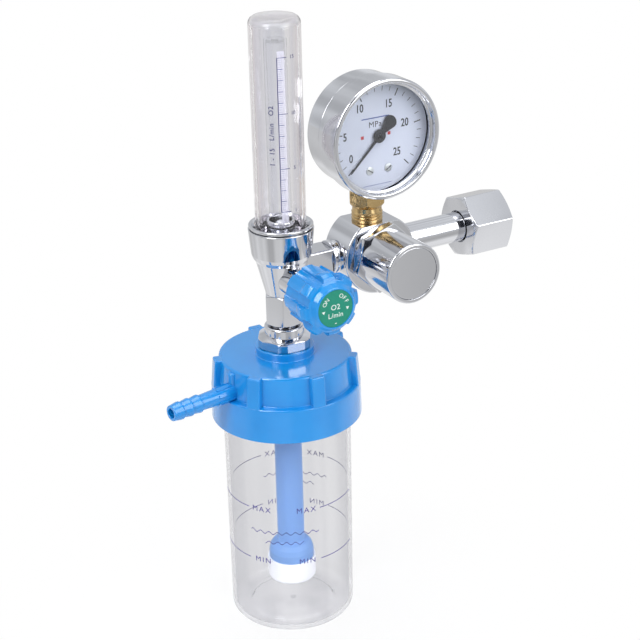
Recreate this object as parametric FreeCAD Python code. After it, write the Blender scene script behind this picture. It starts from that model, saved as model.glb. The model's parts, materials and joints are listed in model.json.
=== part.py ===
import FreeCAD, Part
import math
import os

# Cylinder oxygen flowmeter: regulator, gauge, flow tube, needle valve and humidifier bottle.
# Millimetres, +Z up. The origin is the mouth of the inlet nut, +X runs out of that mouth,
# and the gauge, the bonnet and the knob face -Y.

V = FreeCAD.Vector
X, Y, Z = V(1, 0, 0), V(0, 1, 0), V(0, 0, 1)
FRONT, BACK, LEFT, DOWN = V(0, -1, 0), V(0, 1, 0), V(-1, 0, 0), V(0, 0, -1)

# General clearances
THREAD_GAP = 0.05
RUN_GAP = 0.05
LOOSE_GAP = 0.3
SEAT_GAP = 0.05

# Main axes
REG_X = -79.0
FLOW_X = -128.0
GAUGE_Z = 61.5
KNOB_Z = -3.7

# Inlet nut and stem
NUT_AF = 30.0
NUT_LENGTH = 24.0
NUT_WEB = 4.0
NUT_HOLE_R = 8.3
NUT_CORNER_TILT = 16.0
NUT_CHAMFER = 1.4
INLET_MINOR_R = 10.29
INLET_THREAD = 14.0
NUT_POCKET_R = 10.9
STEM_R = 7.7
FLANGE_R = 9.9
FLANGE_THICK = 3.7
WASHER_R = 9.5
WASHER_THICK = 1.7
WASHER_HOLE_R = 4.4
FILTER_R = 4.6
FILTER_LENGTH = 8.0
STEM_BORE_R = 2.4
STEM_THREAD_R = 6.5
STEM_THREAD = 8.0

# Regulator drum
DRUM_R = 20.0
DRUM_BACK = 8.5
DRUM_FRONT = -12.5
DRUM_FLAT_Z = 16.5
DRUM_EDGE = 0.8
SPOT_DEPTH = 2.0
BONNET_THREAD_R = 15.5
BONNET_THREAD = 4.0
CHAMBER_R = 9.8
CHAMBER_DEPTH = 1.8
VALVE_BORE_R = 5.0
VALVE_BORE = 9.0
HIGH_PASSAGE_R = 1.5
HIGH_PASSAGE_Y = -0.4
LOW_PASSAGE_R = 1.2
LOW_PASSAGE_Y = -6.0

# Pressure reducing valve and spring
DIAPHRAGM_THICK = 1.0
NOZZLE_THICK = 3.0
NOZZLE_HOLE_R = 1.5
POPPET_R = 3.0
POPPET_THICK = 2.0
POPPET_TAIL_R = 1.3
POPPET_TAIL = 1.8
POPPET_PIN_R = 0.9
POPPET_TRAVEL = 0.8
POPPET_SPRING_WIRE = 0.45
PLATE_R = 9.5
PLATE_THICK = 1.6
PLATE_BOSS_R = 4.6
PLATE_BOSS = 1.8
SPRING_R = 6.4
SPRING_WIRE_R = 1.0
SPRING_LENGTH = 15.0
SPRING_TURNS = 5
SPRING_SEAT_THICK = 2.4
SCREW_R = 4.0
SCREW_LENGTH = 10.0

# Bonnet
BONNET_GAP = 0.6
BONNET_HEX_AF = 31.4
BONNET_HEX = 5.4
BONNET_HEX_TURN = 16.0
BONNET_R = 15.3
BONNET_LENGTH = 29.4
BONNET_RIM = 1.3
BONNET_BORE_R = 11.6
BONNET_END_WALL = 11.5
PLUG_R = 13.2
PLUG_THICK = 1.6
PLUG_SINK = 0.3

# Square arm and its lock ring
ARM_SIDE = 13.0
ARM_EDGE = 0.8
ARM_THREAD_R = 6.2
RING_R = 8.5
RING_LENGTH = 4.4
RING_SPOT_DEPTH = 0.8
ARM_THREAD_IN_DRUM = 8.0
ARM_BORE_R = 2.0

# Gauge
BEZEL_WALL = 0.7
BEZEL_FRONT = -20.0
BEZEL_SKIRT = 8.0
BEZEL_LIP = 1.1
BEZEL_LEDGE = 1.2
CASE_R = 28.5
CASE_STEP = 0.8
CASE_STEP_Y = -4.0
CASE_BACK = 10.0
CASE_FRONT = -13.0
CASE_WALL = 1.0
CASE_EDGE = 3.0
WINDOW_THICK = 2.0
GASKET_THICK = 0.8
GASKET_WIDTH = 2.1
DIAL_MARGIN = 1.5
DIAL_THICK = 0.5
DIAL_HOLE_R = 2.0
SOCKET_AF = 17.0
SOCKET_HEX = 5.2
SOCKET_CONE = 3.4
SOCKET_NECK_R = 7.4
SOCKET_NECK = 2.6
SOCKET_SHOULDER_R = 7.8
SOCKET_THREAD_R = 6.0
SOCKET_THREAD_IN_DRUM = 8.0
SOCKET_GROOVE = 0.55
SOCKET_PITCH = 1.6
SOCKET_RECESS_R = 9.0
SOCKET_RECESS = 1.5
SOCKET_WASHER_THICK = 1.2
SOCKET_SHANK_R = 6.4
SOCKET_BORE_R = 1.5
BLOCK_WIDTH = 15.0
BLOCK_TOP = -12.6
BLOCK_BACK = 6.0
BLOCK_FRONT = -2.0

# Gauge movement, placed from the pointer's axis
TUBE_R = 18.9
TUBE_FLAT = 2.2
TUBE_BREADTH = 7.0
TUBE_WALL = 0.35
TUBE_START = 262.0
TUBE_SWEEP = 262.0
PLATE_WIDTH = 15.0
PLATE_LOW = -21.0
PLATE_HIGH = 6.0
MOVEMENT_PLATE = 1.3
MOVEMENT_DEPTH = 5.5
PILLAR_R = 1.5
PINION_TEETH = 10
TOOTH_MODULE = 0.25
SECTOR_TEETH_ROUND = 90
SECTOR_THICK = 0.9
TOOTH_HALF_SHARE = 0.20
ARBOR_R = 0.7
SECTOR_ARM = 7.0
SECTOR_TAIL_ANGLE = 8.0
TEETH_SPARE = 2
LINK_WIDTH = 2.2
LINK_THICK = 0.6
TIP_LENGTH = 3.5
HAIRSPRING_TURNS = 3.0
HAIRSPRING_PITCH = 0.55
HAIRSPRING_IN_R = 1.3
HAIRSPRING_THICK = 0.12
HAIRSPRING_HEIGHT = 0.5

# Pointer and dial screws
POINTER_REST = -135.0
POINTER_SWING = 270.0
POINTER_TIP_R = 23.6
POINTER_TAIL_R = 11.6
POINTER_HUB_R = 2.7
POINTER_THICK = 0.5
DIAL_SCREW_X = 5.2
DIAL_SCREW_Z = -17.0
DIAL_SCREW_R = 1.0
DIAL_SCREW_HEAD_R = 1.9
DIAL_SCREW_HEAD = 1.0
MOVEMENT_SCREW_X = 3.0
MOVEMENT_SCREW_Z = -15.5

# Flow meter forging
CUP_TOP = 21.4
CUP_R = 16.15
CUP_LOW_R = 14.9
CUP_LOW_Z = 8.5
CUP_FOOT_R = 12.9
CUP_FOOT_Z = 4.6
CONE_END_Z = -12.0
CONE_END_R = 8.7
COLUMN_AF = 17.0
COLUMN_END_Z = -28.6
CUP_BORE_R = 14.95
CUP_FLOOR_Z = 14.7
POST_BASE_R = 9.0
POST_R = 6.9
POST_TOP_Z = 25.5
POST_WALL_Z = 18.2
POST_WELL_R = 4.8
POST_WELL = 1.5
OUTLET_HOLE_X = 10.5
VALVE_BOSS_R = 7.0
VALVE_BOSS_END = -21.0

# Clamp ring, cover and metering tube
CLAMP_R = 15.8
CLAMP_GAP = 0.5
CLAMP_FLANGE = 1.5
CLAMP_SKIRT = 6.5
CLAMP_LIP_R = 12.85
CLAMP_MOUTH_R = 14.4
COVER_R = 12.35
COVER_WALL = 2.0
COVER_HEADROOM = 11.3
COVER_TOP_WALL = 2.6
COVER_SHOULDER = 3.0
COVER_FLANGE_R = 13.9
COVER_FLANGE = 3.4
O_RING_R = 13.0
O_RING_WIRE_R = 0.9
TUBE_OUT_R = 5.5
METER_LOW_R = 3.1
METER_TOP_R = 4.3
METER_LENGTH = 94.0
LOWER_SEAL_THICK = 1.6
SEAL_HOLE_R = 1.5
UPPER_SEAL_R = 6.9
UPPER_SEAL_GRIP = 4.0
UPPER_SLOT = 2.2
STOP_THICK = 1.4
BALL_R = 2.95

# Needle valve and knob
GLAND_R = 4.8
GLAND = 6.0
GLAND_HOLE_R = 2.3
SPINDLE_R = 2.2
SPINDLE_O_RING_WIRE_R = 0.9
CHAMBER_END_Y = 0.5
VALVE_CHAMBER_R = 3.1
SPINDLE_THREAD_R = 3.0
SEAT_HOLE_R = 1.0
SEAT_CONE = 1.2
SEAT_CONE_WIDTH = 0.8
DRILLING_Y = 3.6
DRILLING_R = 1.0
KNOB_BACK = -26.0
KNOB_FRONT = -47.0
KNOB_BACK_R = 13.9
KNOB_FRONT_R = 15.8
KNOB_FACE = 3.4
KNOB_FACE_R = 10.3
KNOB_LOBES = 8
KNOB_LOBE_TURN = 5.0
KNOB_LOBE_LENGTH = 9.0
KNOB_GROOVE_R = 3.4
KNOB_CORE_R = 13.3
KNOB_WALL = 2.4
KNOB_END_WALL = 5.0
KNOB_HUB_R = 5.0
KNOB_HUB_BACK = 3.0
LABEL_R = 9.3
LABEL_THICK = 0.5
LABEL_SINK = 0.15
KNOB_SCREW_R = 1.4
KNOB_SCREW_HEAD_R = 2.8
KNOB_SCREW_HEAD = 1.6

# Outlet tail and coupling nut
TAIL_R = 6.3
TAIL_THREAD_R = 5.2
TAIL_THREAD = 7.0
TAIL_FLANGE_R = 8.6
TAIL_FLANGE = 2.0
TAIL_BORE_R = 2.5
COUPLING_TOP = -30.5
COUPLING_R = 9.9
COUPLING_HEX_TOP = -33.6
COUPLING_HEX_AF = 25.7
COUPLING_HEX_R = 13.7
COUPLING_HEX = 6.7
COUPLING_HEX_CONE = 2.4
COUPLING_HEX_TURN = -2.6
COUPLING_THREAD_R = 9.4
COUPLING_THREAD = 6.0
COUPLING_HOLE_R = 6.8
COUPLING_SEAT_GAP = 0.1
BOSS_WASHER_THICK = 1.5
BOSS_WASHER_HOLE_R = 3.2

# Humidifier cap, bottle and tubes
BOSS_R = 14.7
BOSS_HEIGHT = 4.1
CAP_NECK_GAP = 0.4
CAP_WALL = 1.6
CAP_DRUM_TAPER = 1.1
CAP_DRUM = 15.2
CAP_LEDGE = 3.2
CAP_SKIRT_TAPER = 0.5
CAP_SKIRT = 17.0
CAP_SKIRT_WALL = 2.4
CAP_TOP_WALL = 3.0
CAP_LEDGE_WALL = 2.4
CAP_SOCKET_R = 11.5
CAP_SOCKET = 12.5
CAP_SOCKET_FLOOR = 3.0
LUG_COUNT_HALF = 2
LUG_STEP = 52.0
LUG_AXIS = 267.0
LUG_WIDTH = 7.0
LUG_STAND = 3.0
BARB_ANGLE = 189.0
BARB_Z = -56.0
BARB_REACH = 32.0
BARB_BORE_R = 2.5
BARB_CREST_R = 4.7
BARB_ROOT_R = 4.0
BARB_NECK_R = 4.9
BARB_RIDGE = 5.4
BARB_RIDGES = 3
BARB_LAND = 1.0
PILLAR_RIB_R = 2.4
BOTTLE_SHOULDER = 1.15
BOTTLE_TAPER = 0.45
BOTTLE_WALL = 1.9
BOTTLE_BOTTOM = -190.5
BOTTLE_EDGE = 5.5
BOTTLE_PUSH_UP = 1.6
BOTTLE_FOOT_RIM = 7.9
NECK_R = 31.2
NECK_LENGTH = 15.5
BOTTLE_GASKET_THICK = 1.3
DIP_R = 7.0
DIP_WALL = 1.0
BELL_TOP = -152.0
BELL_R = 11.6
BELL_BOTTOM = -165.0
DIFFUSER_SKIRT = 0.9
DIFFUSER_GRIP = 3.0
DIFFUSER_DEPTH = 9.5
DIFFUSER_EDGE = 2.5
DIFFUSER_WALL = 1.2
DIFFUSER_HOLES = 8
DIFFUSER_HOLE_R = 0.9

# Places that follow from the sizes above
CASE_STEP_R = CASE_R + CASE_STEP
BEZEL_R = CASE_STEP_R + BEZEL_WALL
BEZEL_LIP_R = CASE_R - BEZEL_LIP
BEZEL_LEDGE_R = BEZEL_LIP_R - BEZEL_LEDGE
DIAL_R = CASE_STEP_R - DIAL_MARGIN
CAP_NECK_R = NECK_R + CAP_NECK_GAP
CAP_TOP_R = CAP_NECK_R + CAP_WALL
CAP_DRUM_R = CAP_TOP_R + CAP_DRUM_TAPER
CAP_SKIRT_TOP_R = CAP_DRUM_R + CAP_LEDGE
CAP_SKIRT_R = CAP_SKIRT_TOP_R + CAP_SKIRT_TAPER
LUG_TOP_R = CAP_TOP_R + LUG_STAND
LUG_FOOT_R = CAP_SKIRT_TOP_R
BARB_TIP = CAP_SKIRT_R + BARB_REACH
BOTTLE_R = NECK_R + BOTTLE_SHOULDER
BOTTLE_FOOT_R = BOTTLE_R - BOTTLE_TAPER
BOTTLE_PUSH_R = BOTTLE_FOOT_R - BOTTLE_FOOT_RIM
DIFFUSER_R = BELL_R + DIFFUSER_SKIRT
DIFFUSER_TOP = BELL_BOTTOM + DIFFUSER_GRIP
DIFFUSER_BOTTOM = BELL_BOTTOM - DIFFUSER_DEPTH
DRUM_AXIS = V(REG_X, 0, 0)
GAUGE_AXIS = V(REG_X, 0, GAUGE_Z)
FLOW_AXIS = V(FLOW_X, 0, 0)
KNOB_AXIS = V(FLOW_X, 0, KNOB_Z)
STEM_SHOULDER_X = REG_X + DRUM_R - SPOT_DEPTH
RING_SEAT_X = REG_X - DRUM_R + RING_SPOT_DEPTH
FLANGE_BACK_X = -NUT_LENGTH + NUT_WEB + LOOSE_GAP
FLANGE_FRONT_X = FLANGE_BACK_X + FLANGE_THICK
DIAPHRAGM_Y = DRUM_FRONT + BONNET_THREAD
CHAMBER_FLOOR_Y = DIAPHRAGM_Y + CHAMBER_DEPTH
NOZZLE_BACK_Y = CHAMBER_FLOOR_Y + NOZZLE_THICK
VALVE_FLOOR_Y = CHAMBER_FLOOR_Y + VALVE_BORE
BONNET_BACK_Y = DRUM_FRONT - BONNET_GAP
BONNET_END_Y = BONNET_BACK_Y - BONNET_LENGTH
CAP_TOP_Z = COUPLING_HEX_TOP - COUPLING_HEX - COUPLING_SEAT_GAP - BOSS_HEIGHT
BOSS_TOP_Z = CAP_TOP_Z + BOSS_HEIGHT
COUPLING_END_Z = COUPLING_HEX_TOP - COUPLING_HEX - COUPLING_THREAD
TAIL_FLANGE_Z = COUPLING_END_Z - LOOSE_GAP
BOSS_FLOOR_Z = TAIL_FLANGE_Z - TAIL_FLANGE - BOSS_WASHER_THICK
CAP_ROOF_Z = CAP_TOP_Z - CAP_TOP_WALL
BOTTLE_TOP_Z = CAP_ROOF_Z - BOTTLE_GASKET_THICK
GASKET_BACK_Y = CASE_FRONT - WINDOW_THICK
SOCKET_TOP_Z = GAUGE_Z - BEZEL_R - LOOSE_GAP
SOCKET_FOOT_Z = DRUM_FLAT_Z - SOCKET_RECESS - SOCKET_THREAD_IN_DRUM
MOVEMENT_BACK_Y = BLOCK_FRONT
MOVEMENT_FRONT_Y = MOVEMENT_BACK_Y - 2 * MOVEMENT_PLATE - MOVEMENT_DEPTH
DIAL_FRONT_Y = MOVEMENT_FRONT_Y - DIAL_THICK
COVER_FOOT_Z = CUP_FLOOR_Z + 2 * O_RING_WIRE_R
METER_FOOT_Z = POST_WALL_Z + LOWER_SEAL_THICK
METER_TOP_Z = METER_FOOT_Z + METER_LENGTH
COVER_TOP = METER_TOP_Z + COVER_HEADROOM
COVER_ROOF_Z = COVER_TOP - COVER_TOP_WALL


def placed(shape, origin, direction):
    """Move a shape that was built along +Z so that it starts at origin and runs along direction."""
    turn = FreeCAD.Placement(origin, FreeCAD.Rotation(Z, direction))
    shape.Placement = turn.multiply(shape.Placement)
    return shape


def turned(outline, origin, direction):
    """Turn an outline of (radius, distance) points about the line through origin."""
    points = [V(r, 0, h) for r, h in outline]
    face = Part.Face(Part.makePolygon(points + [points[0]]))
    solid = face.revolve(V(0, 0, 0), Z, 360)
    return placed(solid, origin, direction)


def rod(radius, start, end, origin, direction):
    """Cylinder between two distances along a direction from origin."""
    low = min(start, end)
    return placed(Part.makeCylinder(radius, abs(end - start), V(0, 0, low)), origin, direction)


def ring(outer, inner, start, end, origin, direction):
    """Flat ring between two distances along a direction from origin."""
    bore = rod(inner, start, end, origin, direction)
    return rod(outer, start, end, origin, direction).cut(bore)


def hexagon(across_flats, start, end, origin, direction, turn=0.0):
    """Hexagonal bar; turn is the angle of its first corner."""
    corner = across_flats / math.sqrt(3)
    points = []
    for k in range(7):
        angle = math.radians(turn + 60 * k)
        points.append(V(corner * math.cos(angle), corner * math.sin(angle), min(start, end)))
    bar = Part.Face(Part.makePolygon(points)).extrude(V(0, 0, abs(end - start)))
    return placed(bar, origin, direction)


def box(x0, x1, y0, y1, z0, z1):
    """Box between two corners."""
    return Part.makeBox(x1 - x0, y1 - y0, z1 - z0, V(x0, y0, z0))


def coil(radius, wire, length, turns, start, origin, direction):
    """Round wire spring with its end turns inside the length."""
    climb = length - 2 * wire
    helix = Part.makeHelix(climb / turns, climb, radius)
    circle = Part.Wire(Part.Circle(V(radius, 0, 0), Y, wire).toShape())
    solid = Part.Wire(helix.Edges).makePipeShell([circle], True, True)
    solid.translate(V(0, 0, start + wire))
    return placed(solid, origin, direction)


def o_ring(radius, wire, distance, origin, direction):
    """Rubber ring of round section."""
    return placed(Part.makeTorus(radius, wire, V(0, 0, distance)), origin, direction)


def whole(first, others):
    """One solid from touching pieces."""
    return first.fuse(others).removeSplitter()


def inlet_nut():
    corner = NUT_AF / math.sqrt(3)
    face_r = NUT_AF / 2 + 0.2
    bar = hexagon(NUT_AF, -NUT_LENGTH, 0, V(0, 0, 0), X, 90 - NUT_CORNER_TILT)
    form = turned([
        (0, -NUT_LENGTH),
        (face_r, -NUT_LENGTH),
        (corner + 0.1, -NUT_LENGTH + NUT_CHAMFER),
        (corner + 0.1, -NUT_CHAMFER / 2),
        (corner - 1.0, 0),
        (0, 0),
    ], V(0, 0, 0), X)
    bore = turned([
        (0, -NUT_LENGTH),
        (NUT_HOLE_R, -NUT_LENGTH),
        (NUT_HOLE_R, -NUT_LENGTH + NUT_WEB),
        (NUT_POCKET_R, -NUT_LENGTH + NUT_WEB),
        (NUT_POCKET_R, -INLET_THREAD),
        (INLET_MINOR_R, -INLET_THREAD),
        (INLET_MINOR_R, 0),
        (0, 0),
    ], V(0, 0, 0), X)
    return bar.common(form).cut(bore)


def inlet_stem():
    tip_x = STEM_SHOULDER_X - STEM_THREAD
    return turned([
        (STEM_BORE_R, tip_x),
        (STEM_THREAD_R - 0.6, tip_x),
        (STEM_THREAD_R, tip_x + 0.6),
        (STEM_THREAD_R, STEM_SHOULDER_X),
        (STEM_R, STEM_SHOULDER_X),
        (STEM_R, FLANGE_BACK_X),
        (FLANGE_R - 0.4, FLANGE_BACK_X),
        (FLANGE_R, FLANGE_BACK_X + 0.4),
        (FLANGE_R, FLANGE_FRONT_X),
        (FILTER_R, FLANGE_FRONT_X),
        (FILTER_R, FLANGE_FRONT_X - FILTER_LENGTH - 0.6),
        (STEM_BORE_R, FLANGE_FRONT_X - FILTER_LENGTH - 0.6),
    ], V(0, 0, 0), X)


def inlet_filter():
    front = FLANGE_FRONT_X - 0.6
    return turned([
        (0, front - FILTER_LENGTH),
        (FILTER_R, front - FILTER_LENGTH),
        (FILTER_R, front - 1.0),
        (FILTER_R - 1.0, front),
        (0, front),
    ], V(0, 0, 0), X)


def inlet_washer():
    return ring(WASHER_R, WASHER_HOLE_R, FLANGE_FRONT_X, FLANGE_FRONT_X + WASHER_THICK, V(0, 0, 0), X)


def regulator_body():
    drum = turned([
        (0, DRUM_FRONT),
        (DRUM_R - DRUM_EDGE, DRUM_FRONT),
        (DRUM_R, DRUM_FRONT + DRUM_EDGE),
        (DRUM_R, DRUM_BACK - DRUM_EDGE),
        (DRUM_R - DRUM_EDGE, DRUM_BACK),
        (0, DRUM_BACK),
    ], DRUM_AXIS, BACK)
    reach = DRUM_R + 5
    front_bores = turned([
        (0, DRUM_FRONT - 1),
        (BONNET_THREAD_R + THREAD_GAP, DRUM_FRONT - 1),
        (BONNET_THREAD_R + THREAD_GAP, DIAPHRAGM_Y),
        (CHAMBER_R, DIAPHRAGM_Y),
        (CHAMBER_R, CHAMBER_FLOOR_Y),
        (VALVE_BORE_R, CHAMBER_FLOOR_Y),
        (VALVE_BORE_R, VALVE_FLOOR_Y),
        (0, VALVE_FLOOR_Y),
    ], DRUM_AXIS, BACK)
    stem_bore_end = STEM_SHOULDER_X - STEM_THREAD - SEAT_GAP
    arm_bore_end = RING_SEAT_X + ARM_THREAD_IN_DRUM
    recess_floor = DRUM_FLAT_Z - SOCKET_RECESS
    cuts = [
        box(REG_X - reach, REG_X + reach, -reach, reach, DRUM_FLAT_Z, reach),
        front_bores,
        rod(STEM_R + SEAT_GAP, STEM_SHOULDER_X, 0, V(0, 0, 0), X),
        rod(STEM_THREAD_R + THREAD_GAP, stem_bore_end, 0, V(0, 0, 0), X),
        rod(HIGH_PASSAGE_R, REG_X, stem_bore_end, V(0, HIGH_PASSAGE_Y, 0), X),
        rod(RING_R + SEAT_GAP, RING_SEAT_X, FLOW_X, V(0, 0, 0), X),
        rod(ARM_THREAD_R + THREAD_GAP, arm_bore_end, FLOW_X, V(0, 0, 0), X),
        rod(LOW_PASSAGE_R, REG_X - CHAMBER_R + 1, arm_bore_end, V(0, LOW_PASSAGE_Y, 0), X),
        rod(SOCKET_RECESS_R, recess_floor, reach, DRUM_AXIS, Z),
        rod(SOCKET_THREAD_R + THREAD_GAP, SOCKET_FOOT_Z - SOCKET_WASHER_THICK, reach, DRUM_AXIS, Z),
        rod(HIGH_PASSAGE_R, 0, SOCKET_FOOT_Z, V(REG_X, HIGH_PASSAGE_Y, 0), Z),
    ]
    return drum.cut(cuts)


def valve_nozzle():
    return turned([
        (NOZZLE_HOLE_R, CHAMBER_FLOOR_Y),
        (VALVE_BORE_R, CHAMBER_FLOOR_Y),
        (VALVE_BORE_R, NOZZLE_BACK_Y - 0.6),
        (NOZZLE_HOLE_R + 1.0, NOZZLE_BACK_Y - 0.6),
        (NOZZLE_HOLE_R + 0.4, NOZZLE_BACK_Y),
        (NOZZLE_HOLE_R, NOZZLE_BACK_Y),
    ], DRUM_AXIS, BACK)


def poppet():
    seat = NOZZLE_BACK_Y + SEAT_GAP
    return turned([
        (0, DIAPHRAGM_Y + SEAT_GAP),
        (POPPET_PIN_R, DIAPHRAGM_Y + SEAT_GAP),
        (POPPET_PIN_R, seat),
        (POPPET_R, seat),
        (POPPET_R, seat + POPPET_THICK),
        (POPPET_TAIL_R, seat + POPPET_THICK),
        (POPPET_TAIL_R, seat + POPPET_THICK + POPPET_TAIL),
        (0, seat + POPPET_THICK + POPPET_TAIL),
    ], DRUM_AXIS, BACK)


def poppet_spring():
    start = NOZZLE_BACK_Y + SEAT_GAP + POPPET_THICK + SEAT_GAP
    radius = POPPET_TAIL_R + POPPET_SPRING_WIRE + 0.15
    length = VALVE_FLOOR_Y - SEAT_GAP - start
    return coil(radius, POPPET_SPRING_WIRE, length, 2.5, start, DRUM_AXIS, BACK)


def diaphragm():
    return rod(BONNET_THREAD_R - SEAT_GAP, DIAPHRAGM_Y - DIAPHRAGM_THICK, DIAPHRAGM_Y, DRUM_AXIS, BACK)


def diaphragm_plate():
    back = DIAPHRAGM_Y - DIAPHRAGM_THICK
    return turned([
        (0, back),
        (PLATE_R, back),
        (PLATE_R, back - PLATE_THICK),
        (PLATE_BOSS_R, back - PLATE_THICK),
        (PLATE_BOSS_R - 0.4, back - PLATE_THICK - PLATE_BOSS),
        (0, back - PLATE_THICK - PLATE_BOSS),
    ], DRUM_AXIS, BACK)


def main_spring():
    start = -(DIAPHRAGM_Y - DIAPHRAGM_THICK - PLATE_THICK)
    return coil(SPRING_R, SPRING_WIRE_R, SPRING_LENGTH, SPRING_TURNS, start, DRUM_AXIS, FRONT)


def spring_end_y():
    return DIAPHRAGM_Y - DIAPHRAGM_THICK - PLATE_THICK - SPRING_LENGTH


def spring_seat():
    back = spring_end_y()
    return turned([
        (0, back + PLATE_BOSS),
        (PLATE_BOSS_R - 0.4, back + PLATE_BOSS),
        (PLATE_BOSS_R, back),
        (PLATE_R, back),
        (PLATE_R, back - SPRING_SEAT_THICK),
        (0, back - SPRING_SEAT_THICK),
    ], DRUM_AXIS, BACK)


def adjusting_screw():
    back = spring_end_y() - SPRING_SEAT_THICK
    front = back - SCREW_LENGTH
    screw = rod(SCREW_R, back, front, DRUM_AXIS, BACK)
    slot = box(REG_X - SCREW_R, REG_X + SCREW_R, front, front + 1.5, -0.6, 0.6)
    return screw.cut(slot)


def bonnet():
    hex_front = BONNET_BACK_Y - BONNET_HEX
    corner = BONNET_HEX_AF / math.sqrt(3)
    bar = hexagon(BONNET_HEX_AF, -BONNET_BACK_Y, -hex_front, DRUM_AXIS, FRONT, BONNET_HEX_TURN)
    form = turned([
        (0, BONNET_BACK_Y),
        (corner - 1.2, BONNET_BACK_Y),
        (corner + 0.1, BONNET_BACK_Y - 0.9),
        (corner + 0.1, hex_front),
        (0, hex_front),
    ], DRUM_AXIS, BACK)
    barrel = turned([
        (0, BONNET_BACK_Y),
        (BONNET_R, BONNET_BACK_Y),
        (BONNET_R, BONNET_END_Y + BONNET_RIM),
        (BONNET_R - 0.5, BONNET_END_Y + 0.3),
        (BONNET_R - BONNET_RIM, BONNET_END_Y),
        (0, BONNET_END_Y),
    ], DRUM_AXIS, BACK)
    spigot = rod(BONNET_THREAD_R, DIAPHRAGM_Y - DIAPHRAGM_THICK, BONNET_BACK_Y, DRUM_AXIS, BACK)
    bore = turned([
        (0, DIAPHRAGM_Y),
        (BONNET_BORE_R, DIAPHRAGM_Y),
        (BONNET_BORE_R, BONNET_END_Y + BONNET_END_WALL),
        (SCREW_R + THREAD_GAP, BONNET_END_Y + BONNET_END_WALL),
        (SCREW_R + THREAD_GAP, BONNET_END_Y + PLUG_THICK + PLUG_SINK),
        (PLUG_R + SEAT_GAP, BONNET_END_Y + PLUG_THICK + PLUG_SINK),
        (PLUG_R + SEAT_GAP, BONNET_END_Y),
        (0, BONNET_END_Y),
    ], DRUM_AXIS, BACK)
    return whole(bar.common(form), [barrel, spigot]).cut(bore)


def bonnet_plug():
    front = BONNET_END_Y + PLUG_SINK
    return turned([
        (0, front),
        (PLUG_R - 0.3, front),
        (PLUG_R, front + 0.3),
        (PLUG_R, front + PLUG_THICK),
        (0, front + PLUG_THICK),
    ], DRUM_AXIS, BACK)


def lock_ring():
    seat = RING_SEAT_X
    middle = seat - RING_LENGTH / 2
    return turned([
        (ARM_THREAD_R + THREAD_GAP, seat),
        (RING_R - 0.3, seat),
        (RING_R, seat - 0.3),
        (RING_R, middle + 0.5),
        (RING_R - 0.5, middle),
        (RING_R, middle - 0.5),
        (RING_R, seat - RING_LENGTH + 0.3),
        (RING_R - 0.3, seat - RING_LENGTH),
        (ARM_THREAD_R + THREAD_GAP, seat - RING_LENGTH),
    ], V(0, 0, 0), X)


def gauge_socket():
    corner = SOCKET_AF / math.sqrt(3)
    hex_foot = SOCKET_TOP_Z - SOCKET_HEX
    cone_foot = hex_foot - SOCKET_CONE
    neck_foot = cone_foot - SOCKET_NECK
    bar = hexagon(SOCKET_AF, cone_foot, SOCKET_TOP_Z, DRUM_AXIS, Z)
    form = turned([
        (0, cone_foot),
        (SOCKET_NECK_R, cone_foot),
        (corner + 0.1, hex_foot),
        (corner + 0.1, SOCKET_TOP_Z - 0.6),
        (corner - 0.8, SOCKET_TOP_Z),
        (0, SOCKET_TOP_Z),
    ], DRUM_AXIS, Z)
    outline = [(0, cone_foot + 0.5), (SOCKET_NECK_R, cone_foot + 0.5), (SOCKET_NECK_R, neck_foot + 0.4)]
    outline += [(SOCKET_SHOULDER_R, neck_foot)]
    turns = 3
    for k in range(turns):
        crest = neck_foot - 0.3 - k * SOCKET_PITCH
        outline += [
            (SOCKET_SHOULDER_R, crest),
            (SOCKET_SHOULDER_R - SOCKET_GROOVE, crest - SOCKET_PITCH / 4),
            (SOCKET_SHOULDER_R - SOCKET_GROOVE, crest - SOCKET_PITCH / 2),
            (SOCKET_SHOULDER_R, crest - 3 * SOCKET_PITCH / 4),
        ]
    shoulder_z = DRUM_FLAT_Z - SOCKET_RECESS
    outline += [(SOCKET_SHOULDER_R, shoulder_z), (SOCKET_THREAD_R, shoulder_z)]
    outline += [(SOCKET_THREAD_R, SOCKET_FOOT_Z), (0, SOCKET_FOOT_Z)]
    neck = turned(outline, DRUM_AXIS, Z)
    block_low = GAUGE_Z - CASE_R + CASE_WALL + 1.2
    shank = rod(SOCKET_SHANK_R, SOCKET_TOP_Z - 0.5, block_low + 0.5, DRUM_AXIS, Z)
    block = box(REG_X - BLOCK_WIDTH / 2, REG_X + BLOCK_WIDTH / 2, BLOCK_FRONT, BLOCK_BACK, block_low,
                GAUGE_Z + BLOCK_TOP)
    channel = rod(SOCKET_BORE_R, SOCKET_FOOT_Z, GAUGE_Z - TUBE_R, DRUM_AXIS + V(0, HIGH_PASSAGE_Y, 0), Z)
    solid = whole(bar.common(form), [neck, shank, block]).cut(channel)
    return solid.cut([bourdon_outline(0.0)] + movement_screw_holes())


def socket_washer():
    return ring(SOCKET_THREAD_R - 0.4, HIGH_PASSAGE_R + 2.3, SOCKET_FOOT_Z - SOCKET_WASHER_THICK,
                SOCKET_FOOT_Z, DRUM_AXIS, Z)


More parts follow.
